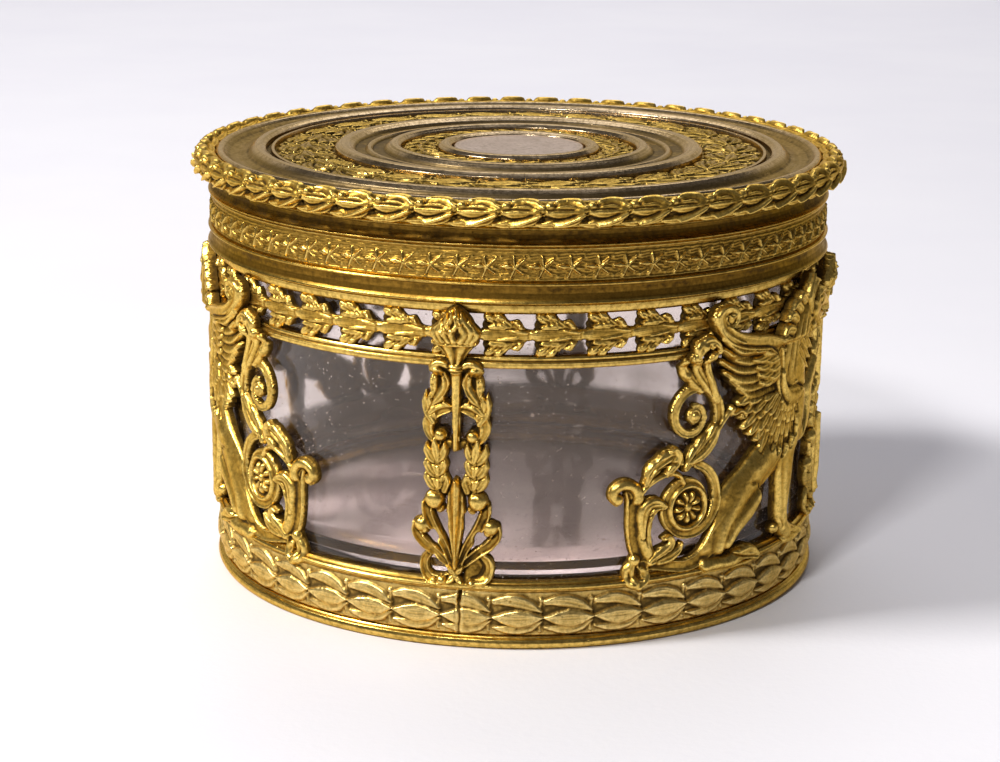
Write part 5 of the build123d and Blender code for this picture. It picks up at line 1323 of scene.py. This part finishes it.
def glass_mat():
    mat = bpy.data.materials.new("old_glass")
    N = Nodes(mat)
    obj = N.n("ShaderNodeTexCoord").outputs["Object"]
    waves = N.noise(obj, 22.0, 2.0, 0.5)
    fine = N.noise(obj, 420.0, 2.0, 0.5)
    dust_n = N.noise(obj, 40.0, 3.0, 0.6)
    vor = N.n("ShaderNodeTexVoronoi", feature="F1", ins={"Vector": obj, "Scale": 1100.0, "Randomness": 1.0})
    specks = N.math("MULTIPLY", N.remap(vor.outputs["Distance"], 0.15, 0.07), N.remap(dust_n, 0.42, 0.56))
    vor2 = N.n("ShaderNodeTexVoronoi", feature="F1", ins={"Vector": obj, "Scale": 170.0, "Randomness": 1.0})
    spots = N.math("MULTIPLY", N.remap(vor2.outputs["Distance"], 0.07, 0.035), N.remap(dust_n, 0.52, 0.60))
    # fine scratches: stretched noise
    mp = N.n("ShaderNodeMapping", ins={"Vector": obj, "Rotation": (0.5, 0.9, 0.3), "Scale": (40.0, 900.0, 900.0)})
    sc = N.remap(N.noise(mp.outputs[0], 1.0, 2.0, 0.5), 0.70, 0.76)
    dust = N.math("MAXIMUM", N.math("MAXIMUM", N.math("MULTIPLY", specks, 0.75), N.math("MULTIPLY", spots, 0.6)), N.math("MULTIPLY", sc, 0.18))
    film = N.remap(N.noise(obj, 30.0, 4.0, 0.65, 0.6), 0.45, 0.80, 0.0, 0.045)
    hgt = N.math("ADD", N.math("MULTIPLY", waves, 1.0), N.math("MULTIPLY", fine, 0.02))
    bump = N.n("ShaderNodeBump", ins={"Strength": 0.25, "Distance": 0.0012, "Height": hgt})
    g = N.n("ShaderNodeBsdfPrincipled", ins={"Base Color": (0.935, 0.865, 0.825, 1), "Roughness": 0.05, "IOR": 1.5, "Specular IOR Level": 0.28, "Specular Tint": (1.0, 0.88, 0.76, 1), "Transmission Weight": 1.0, "Normal": bump.outputs[0]})
    tr = N.n("ShaderNodeBsdfTransparent", ins={"Color": (0.84, 0.81, 0.82, 1)})
    lp = N.n("ShaderNodeLightPath")
    m1 = N.n("ShaderNodeMixShader", ins={0: lp.outputs["Is Shadow Ray"]})
    N.t.links.new(g.outputs[0], m1.inputs[1])
    N.t.links.new(tr.outputs[0], m1.inputs[2])
    df = N.n("ShaderNodeBsdfDiffuse", ins={"Color": (0.64, 0.52, 0.44, 1), "Roughness": 0.5})
    m2 = N.n("ShaderNodeMixShader", ins={0: N.math("ADD", dust, film)})
    N.t.links.new(m1.outputs[0], m2.inputs[1])
    N.t.links.new(df.outputs[0], m2.inputs[2])
    # brown mixed in at the corner between wall and floor, growing towards the back, and a thinner blotchy brown band
    # low on the wall behind; the brown is lighter towards the right
    sp = N.n("ShaderNodeSeparateXYZ", ins={"Vector": obj})
    rad = N.math("SQRT", N.math("ADD", N.math("MULTIPLY", sp.outputs[0], sp.outputs[0]), N.math("MULTIPLY", sp.outputs[1], sp.outputs[1])))
    low = N.math("MULTIPLY", N.remap(sp.outputs[2], 0.0160, 0.0145), N.remap(sp.outputs[2], 0.0080, 0.0088))
    wall = N.remap(rad, 0.0385, 0.0410)
    back = N.remap(sp.outputs[1], -0.005, 0.025)
    mottle = N.remap(N.noise(obj, 70.0, 4.0, 0.65, 0.5), 0.30, 0.60, 0.70, 1.0)
    back_corner_brown = N.math("MULTIPLY", N.math("MULTIPLY", N.math("MULTIPLY", low, wall), back), N.math("MULTIPLY", mottle, 0.95))
    blot = N.remap(N.noise(obj, 38.0, 2.0, 0.5, 0.4), 0.50, 0.66, 0.0, 0.42)
    band = N.math("MULTIPLY", N.remap(sp.outputs[2], 0.012, 0.015), N.remap(sp.outputs[2], 0.0225, 0.0185))
    back_wall_brown = N.math("MULTIPLY", N.math("MULTIPLY", band, wall), N.math("MULTIPLY", back, blot))
    gcol = N.mix(N.math("MULTIPLY", N.remap(sp.outputs[0], 0.004, 0.026), mottle), [0.13, 0.080, 0.048], [0.36, 0.22, 0.085])
    gd = N.n("ShaderNodeBsdfDiffuse", ins={"Color": gcol, "Roughness": 0.5})
    m3 = N.n("ShaderNodeMixShader", ins={0: N.math("MAXIMUM", back_corner_brown, back_wall_brown)})
    N.t.links.new(m2.outputs[0], m3.inputs[1])
    N.t.links.new(gd.outputs[0], m3.inputs[2])
    out = N.n("ShaderNodeOutputMaterial")
    N.t.links.new(m3.outputs[0], out.inputs["Surface"])
    return mat


def floor_mat():
    mat = bpy.data.materials.new("table_top")
    N = Nodes(mat)
    obj = N.n("ShaderNodeTexCoord").outputs["Object"]
    a = N.noise(obj, 9.0, 3.0, 0.6)
    b = N.noise(obj, 700.0, 3.0, 0.6)
    col = N.mix(N.remap(a, 0.35, 0.65), [0.80, 0.79, 0.84], [0.83, 0.82, 0.86])
    col = N.mix(N.remap(b, 0.60, 0.85, 0.0, 0.10), col, [0.70, 0.69, 0.74])
    bump = N.n("ShaderNodeBump", ins={"Strength": 0.2, "Distance": 0.0002, "Height": b})
    s = N.n("ShaderNodeBsdfPrincipled", ins={"Base Color": col, "Roughness": 0.62, "Normal": bump.outputs[0]})
    out = N.n("ShaderNodeOutputMaterial")
    N.t.links.new(s.outputs[0], out.inputs["Surface"])
    return mat
# ---------------------------------------------------------------- the pieces
CAST = gilt("gilt_cast", (0.93, 0.65, 0.165), (0.60, 0.36, 0.060), (0.110, 0.056, 0.008), rough=(0.31, 0.49), pits=0.6, grain=1.15)
BAND = gilt("gilt_band", (0.94, 0.71, 0.27), (0.72, 0.485, 0.135), (0.25, 0.145, 0.030), rough=(0.33, 0.50), pits=0.5, grain=1.2)
TURN = gilt("gilt_turned", (0.90, 0.62, 0.155), (0.46, 0.26, 0.040), (0.115, 0.055, 0.008), turned=1.0, rough=(0.28, 0.42), pits=1.0)
DARK = gilt("gilt_turned_lid", (0.74, 0.48, 0.105), (0.28, 0.150, 0.021), (0.075, 0.035, 0.005), turned=1.0, rough=(0.28, 0.42), pits=1.0)
STAR = gilt("gilt_star", (0.90, 0.63, 0.165), (0.44, 0.255, 0.042), (0.085, 0.044, 0.007), turned=0.5, rough=(0.27, 0.42), pits=1.0)
LIDTOP = gilt("gilt_lid_top", (0.66, 0.515, 0.34), (0.32, 0.220, 0.098), (0.070, 0.043, 0.016), turned=1.3, rough=(0.22, 0.36), pits=0.7)
# the centre disc's grey-lavender colours are a painted reflection of the pale backdrop behind the box, laid over the
# gilt's turned lines and patina
DISC_PAINTED_REFLECTION = gilt("gilt_lid_disc_painted_reflection", (0.72, 0.65, 0.68), (0.57, 0.505, 0.525), (0.16, 0.11, 0.07), turned=0.4, rough=(0.34, 0.44), pits=0.6)
LIDLEAF = gilt("gilt_lid_leaf", (0.74, 0.51, 0.14), (0.20, 0.125, 0.030), (0.040, 0.023, 0.006), rough=(0.22, 0.38), pits=0.6)
GLASS = glass_mat()

CAGE = "cage"
LID = "lid"
made = []


def put(obj, body, node):
    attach(obj, body)
    if node:
        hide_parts(*([node] if isinstance(node, str) else node))
    made.append(obj)
    return obj


# foot ring: bead, with a fine line above it
put(turn("foot_ring_bead", [(39.0, 0.5), (43.2, 0.5), (43.6, 0.0), (45.6, 0.0), (46.2, 0.22), (46.5, 0.85), (46.3, 1.4), (45.9, 1.62), (45.75, 1.8), (39.0, 1.8)],
         TURN, r=[0.1, 0.1, 0.1, 0.2, 0.4, 0.5, 0.25, 0.1, 0.1, 0.1]), CAGE, "foot_ring")

g, L, NN = draw_base_band()
put(wrap_band("base_laurel", g, L, NN, on_drum(45.35, 46.0), [(8.5, -0.70), (1.8, -0.70)], BAND), CAGE, "base_laurel_band")

put(turn("base_moulding_ring", [(44.65, 8.5), (45.85, 8.5), (45.9, 8.62), (46.25, 8.85), (46.3, 9.15), (46.05, 9.4), (45.75, 9.45), (45.65, 9.62), (45.35, 9.9), (44.65, 9.9)],
         TURN, r=[0.05, 0.05, 0.1, 0.2, 0.25, 0.15, 0.08, 0.15, 0.2, 0.1]), CAGE, "base_moulding")

put(turn("glass_cup_liner", [(0, 1.85), (43.5, 1.85), (44.2, 2.1), (44.5, 2.8), (44.5, 49.45), (44.2, 49.75), (42.5, 49.75), (42.2, 49.45), (42.2, 14.0), (41.85, 11.9), (40.7, 10.3), (39.1, 9.2), (37.0, 8.8), (0, 8.8)],
         GLASS, r=[0, 0.3, 0.5, 0.5, 0.3, 0.3, 0.3, 0.3, 1.9, 1.6, 1.6, 1.6, 1.8, 0], step=2.0), CAGE, "glass_cup")

put(turn("gallery_rail_low", [(44.65, 40.4), (45.6, 40.4), (45.9, 40.62), (45.9, 41.25), (45.72, 41.42), (45.62, 41.5), (45.72, 41.6), (45.8, 41.85), (45.62, 42.1), (45.3, 42.2), (44.65, 42.2)],
         TURN, r=0.15), CAGE, "gallery_lower_rail")

g, L, NN = draw_gallery()
put(casting("gallery_branch_leaves", g_crop(g, L), on_drum(44.82, 46.0), CAST), CAGE, "gallery_branch")

put(turn("gallery_rail_top", [(44.65, 47.95), (45.3, 47.95), (45.5, 48.05), (45.72, 48.3), (45.86, 48.75), (45.9, 49.2), (45.75, 49.6), (45.5, 49.72), (44.65, 49.72)],
         TURN, r=[0.05, 0.1, 0.1, 0.2, 0.4, 0.3, 0.15, 0.1, 0.05]), CAGE, "gallery_top_rail")

g = draw_torch()


def set_torch(theta0):
    f = on_wall(theta0)
    return lambda u, z, h: f(u, z - 0.6 * np.clip((15.0 - z) / 4.0, 0, 1) - 0.35 * np.clip((z - 44.0) / 5.7, 0, 1), h)


def set_griffin(theta0, sgn, du):
    f = on_wall(theta0, sgn)

    def place(u, z, h):
        t = np.clip((z - 37.0) / 7.0, 0, 1) * np.clip((50.0 - u) / 8.0, 0, 1)
        a = np.clip((30.0 - u) / 5.0, 0, 1)
        return f(u + du - 1.0 * t - 0.5 * a, z - 1.45 * np.clip((46.0 - z) / 35.0, 0, 1) - 0.25 * a, h)
    return place


for nm, a in (("front", 0.0), ("right", 0.25), ("back", 0.5), ("left", 0.75)):
    put(casting("torch_" + nm + "_cast", g, set_torch(a * TAU), CAST), CAGE, "torch_" + nm)

g = draw_griffin()
# the castings were set by hand: each pair stands a little farther round than the pattern
for nm, a, s, du in (("front_right", 0.0, 1, 0.9), ("front_left", 0.0, -1, 1.7), ("back_right", math.pi, -1, 0.9), ("back_left", math.pi, 1, 0.9)):
    put(casting("griffin_" + nm + "_cast", g, set_griffin(a, s, du), CAST, flip=(s < 0)), CAGE, "griffin_" + nm)

# lid
put(turn("lid_collar_ring", [(40.9, 47.75), (41.55, 47.75), (41.85, 48.15), (41.85, 52.9), (40.9, 52.9)], TURN, r=0.15, n=540, step=1.0), LID, "lid_collar")
put(turn("lid_lip", [(41.85, 50.1), (46.25, 50.1), (46.45, 49.72), (46.95, 49.66), (47.1, 49.80), (47.02, 49.98), (46.8, 50.35), (46.64, 51.1), (46.66, 51.75), (46.76, 52.06), (46.95, 52.2), (47.0, 52.38), (46.86, 52.56), (46.6, 52.62), (45.0, 52.62), (45.0, 52.9), (41.85, 52.9)],
         DARK, r=[0.05, 0.05, 0.08, 0.08, 0.08, 0.1, 0.3, 0.6, 0.4, 0.1, 0.1, 0.1, 0.1, 0.05, 0.05, 0.05, 0.05]), LID, "lid_lip_ring")


def lowered(place, dz):
    return lambda u, z, h: place(u, z - dz, h)


g, L, NN = draw_stars()
put(wrap_band("lid_stars", g, L, NN, lowered(on_drum(46.18, 46.35), 0.3), [(57.8, -1.9), (52.9, -1.9)], STAR), LID, "lid_star_band")
put(turn("lid_cove", [(44.3, 57.4), (46.7, 57.5), (46.9, 57.6), (46.9, 57.75), (46.6, 57.9), (46.35, 58.1), (46.1, 58.5), (45.98, 59.0), (46.0, 59.5), (46.2, 59.8), (46.1, 60.05), (45.4, 60.3), (45.4, 61.15), (44.3, 61.15)],
         DARK, r=[0.05, 0.05, 0.08, 0.08, 0.1, 0.3, 0.4, 0.4, 0.3, 0.1, 0.1, 0.05, 0.05, 0.05]), LID, "lid_cove_ring")


def on_rim(u, v, h):
    th = u / 46.97
    ps = v / 2.03
    q = RIM_T + h
    R = 46.97 + q * np.cos(ps)
    return np.stack([R * np.sin(th), -R * np.cos(th), 61.9 + q * np.sin(ps)], -1)


g, L, NN = draw_rim()
put(wrap_band("lid_laurel", g, L, NN, on_rim, [(6.4, 0.0), (7.1, 0.0), (7.6, 0.0)], CAST), LID, "lid_laurel_rim")

put(turn("lid_plate", [(0, 61.2), (45.6, 61.2), (45.6, 63.35), (45.2, 63.7), (44.7, 63.62), (44.3, 63.25), (43.6, 62.75), (42.2, 62.5), (40.9, 62.8), (40.25, 63.5), (39.7, 63.98), (38.8, 63.98), (38.15, 63.6), (38.1, 62.7),
                       (37.4, 62.7), (37.35, 63.45), (36.9, 63.45), (36.8, 62.5), (27.8, 62.5), (27.75, 63.5), (27.1, 64.0), (25.8, 64.0), (25.05, 63.55), (24.6, 63.05), (23.3, 62.9), (22.85, 63.4), (22.4, 63.4), (22.0, 62.9),
                       (20.5, 62.9), (19.95, 63.5), (19.3, 64.0), (18.4, 64.0), (17.85, 63.5), (17.8, 62.6), (12.2, 62.6), (12.2, 63.5), (11.7, 63.95), (10.7, 63.95), (10.15, 63.6), (10.0, 62.95), (0, 62.95)],
         LIDTOP, r=[0, 0.1, 0.3, 0.3, 0.3, 0.3, 0.6, 1.2, 0.8, 0.3, 0.4, 0.4, 0.3, 0.08, 0.08, 0.08, 0.08, 0.05, 0.05, 0.12, 0.4, 0.4, 0.3, 0.3, 0.1, 0.15, 0.15, 0.1, 0.2, 0.3, 0.4, 0.4, 0.2, 0.05, 0.05, 0.2, 0.3, 0.3, 0.2, 0.05, 0],
         n=720, step=0.8), LID, "lid_top_plate")
put(turn("lid_disc", [(0, 63.0), (9.78, 63.0), (9.8, 63.45), (9.65, 63.6), (9.3, 63.62), (0, 63.66)], DISC_PAINTED_REFLECTION, r=[0, 0.05, 0.1, 0.1, 0.2, 0], n=360, step=0.6), LID, "lid_centre_disc")


def on_top(z0, Rm):
    def f(u, v, h):
        th = u / Rm
        return np.stack([v * np.sin(th), -v * np.cos(th), z0 + h], -1)
    return f


g, L, NN = draw_outer_band()
put(wrap_band("lid_outer_leaves", g, L, NN, on_top(62.62, 32.3), [(36.75, -0.12), (27.85, -0.12)], LIDLEAF, True), LID, "lid_outer_leaf_band")
g, L, NN = draw_inner_band()
put(wrap_band("lid_inner_leaves", g, L, NN, on_top(62.72, 15.0), [(17.75, -0.12), (12.25, -0.12)], LIDLEAF, True), LID, "lid_inner_leaf_band")

# ---------------------------------------------------------------- floor, light, camera
# a slightly uneven table top, wider than the view
n = 60
xs = np.linspace(-1, 1, n)
X, Y = np.meshgrid(np.sign(xs) * np.abs(xs) ** 2.2 * 4000.0, np.sign(xs) * np.abs(xs) ** 2.2 * 4000.0, indexing="ij")
Zf = np.zeros_like(X)
i, j = np.meshgrid(np.arange(n - 1), np.arange(n - 1), indexing="ij")
q = np.stack([i * n + j, (i + 1) * n + j, (i + 1) * n + j + 1, i * n + j + 1], -1).reshape(-1, 4)
floor = add_mesh("table_top", np.stack([X, Y, Zf], -1).reshape(-1, 3), quads=q, mat=floor_mat())

PHI = math.radians(10.1)


def turned_point(x, y, z):
    c, s = math.cos(PHI), math.sin(PHI)
    return Vector((x * c - y * s, x * s + y * c, z)) * MM


def area(name, loc, aim, size, power, colour=(1, 1, 1), sy=None):
    ld = bpy.data.lights.new(name, "AREA")
    ld.energy = power
    ld.color = colour
    ld.shape = "RECTANGLE"
    ld.size = size * MM
    ld.size_y = (sy or size) * MM
    o = bpy.data.objects.new(name, ld)
    bpy.context.scene.collection.objects.link(o)
    p = turned_point(*loc)
    o.location = p
    o.rotation_euler = (turned_point(*aim) - p).to_track_quat("-Z", "Y").to_euler()
    return o


# x to the right of the picture, y away from the camera
area("key_left", (-880, -260, 900), (0, 0, 20), 280, 15.1, (1.0, 0.985, 0.96))
area("top_soft", (60, 300, 900), (0, 60, 0), 600, 0.5, (0.98, 0.97, 1.0))
area("floor_back", (0, 900, 950), (0, 700, 0), 900, 5.0, (0.98, 0.97, 1.0))
area("front_window", (-260, -620, 620), (0, 0, 30), 110, 3.5, (1.0, 0.99, 0.97))
area("back_card", (0, 1000, 400), (0, 0, 200), 2600, 2.75, (0.98, 0.96, 1.0), sy=700)

w = bpy.data.worlds.new("room")
bpy.context.scene.world = w
w.use_nodes = True
nt = w.node_tree
nt.nodes.clear()
bg = nt.nodes.new("ShaderNodeBackground")
wo = nt.nodes.new("ShaderNodeOutputWorld")
bg.inputs["Color"].default_value = (0.76, 0.73, 0.77, 1)
bg.inputs["Strength"].default_value = 0.135
nt.links.new(bg.outputs[0], wo.inputs[0])

cam_data = bpy.data.cameras.new("photo_camera")
cam = bpy.data.objects.new("photo_camera", cam_data)
bpy.context.scene.collection.objects.link(cam)
cam_data.sensor_width = 36.0
cam_data.sensor_fit = "HORIZONTAL"
cam_data.lens = 85.35
cam_data.clip_start = 0.01
cam_data.clip_end = 50.0
cam.location = turned_point(0, -356.61, 121.8)
yaw, pitch, roll = -0.00693, 0.26107, 0.0105
rot = Matrix.Rotation(PHI, 4, "Z") @ Matrix.Rotation(-yaw, 4, "Z") @ Matrix.Rotation(math.pi / 2 - pitch, 4, "X") @ Matrix.Rotation(roll, 4, "Z")
cam.rotation_euler = rot.to_euler()
bpy.context.scene.camera = cam
bpy.context.scene.view_settings.view_transform = "Standard"
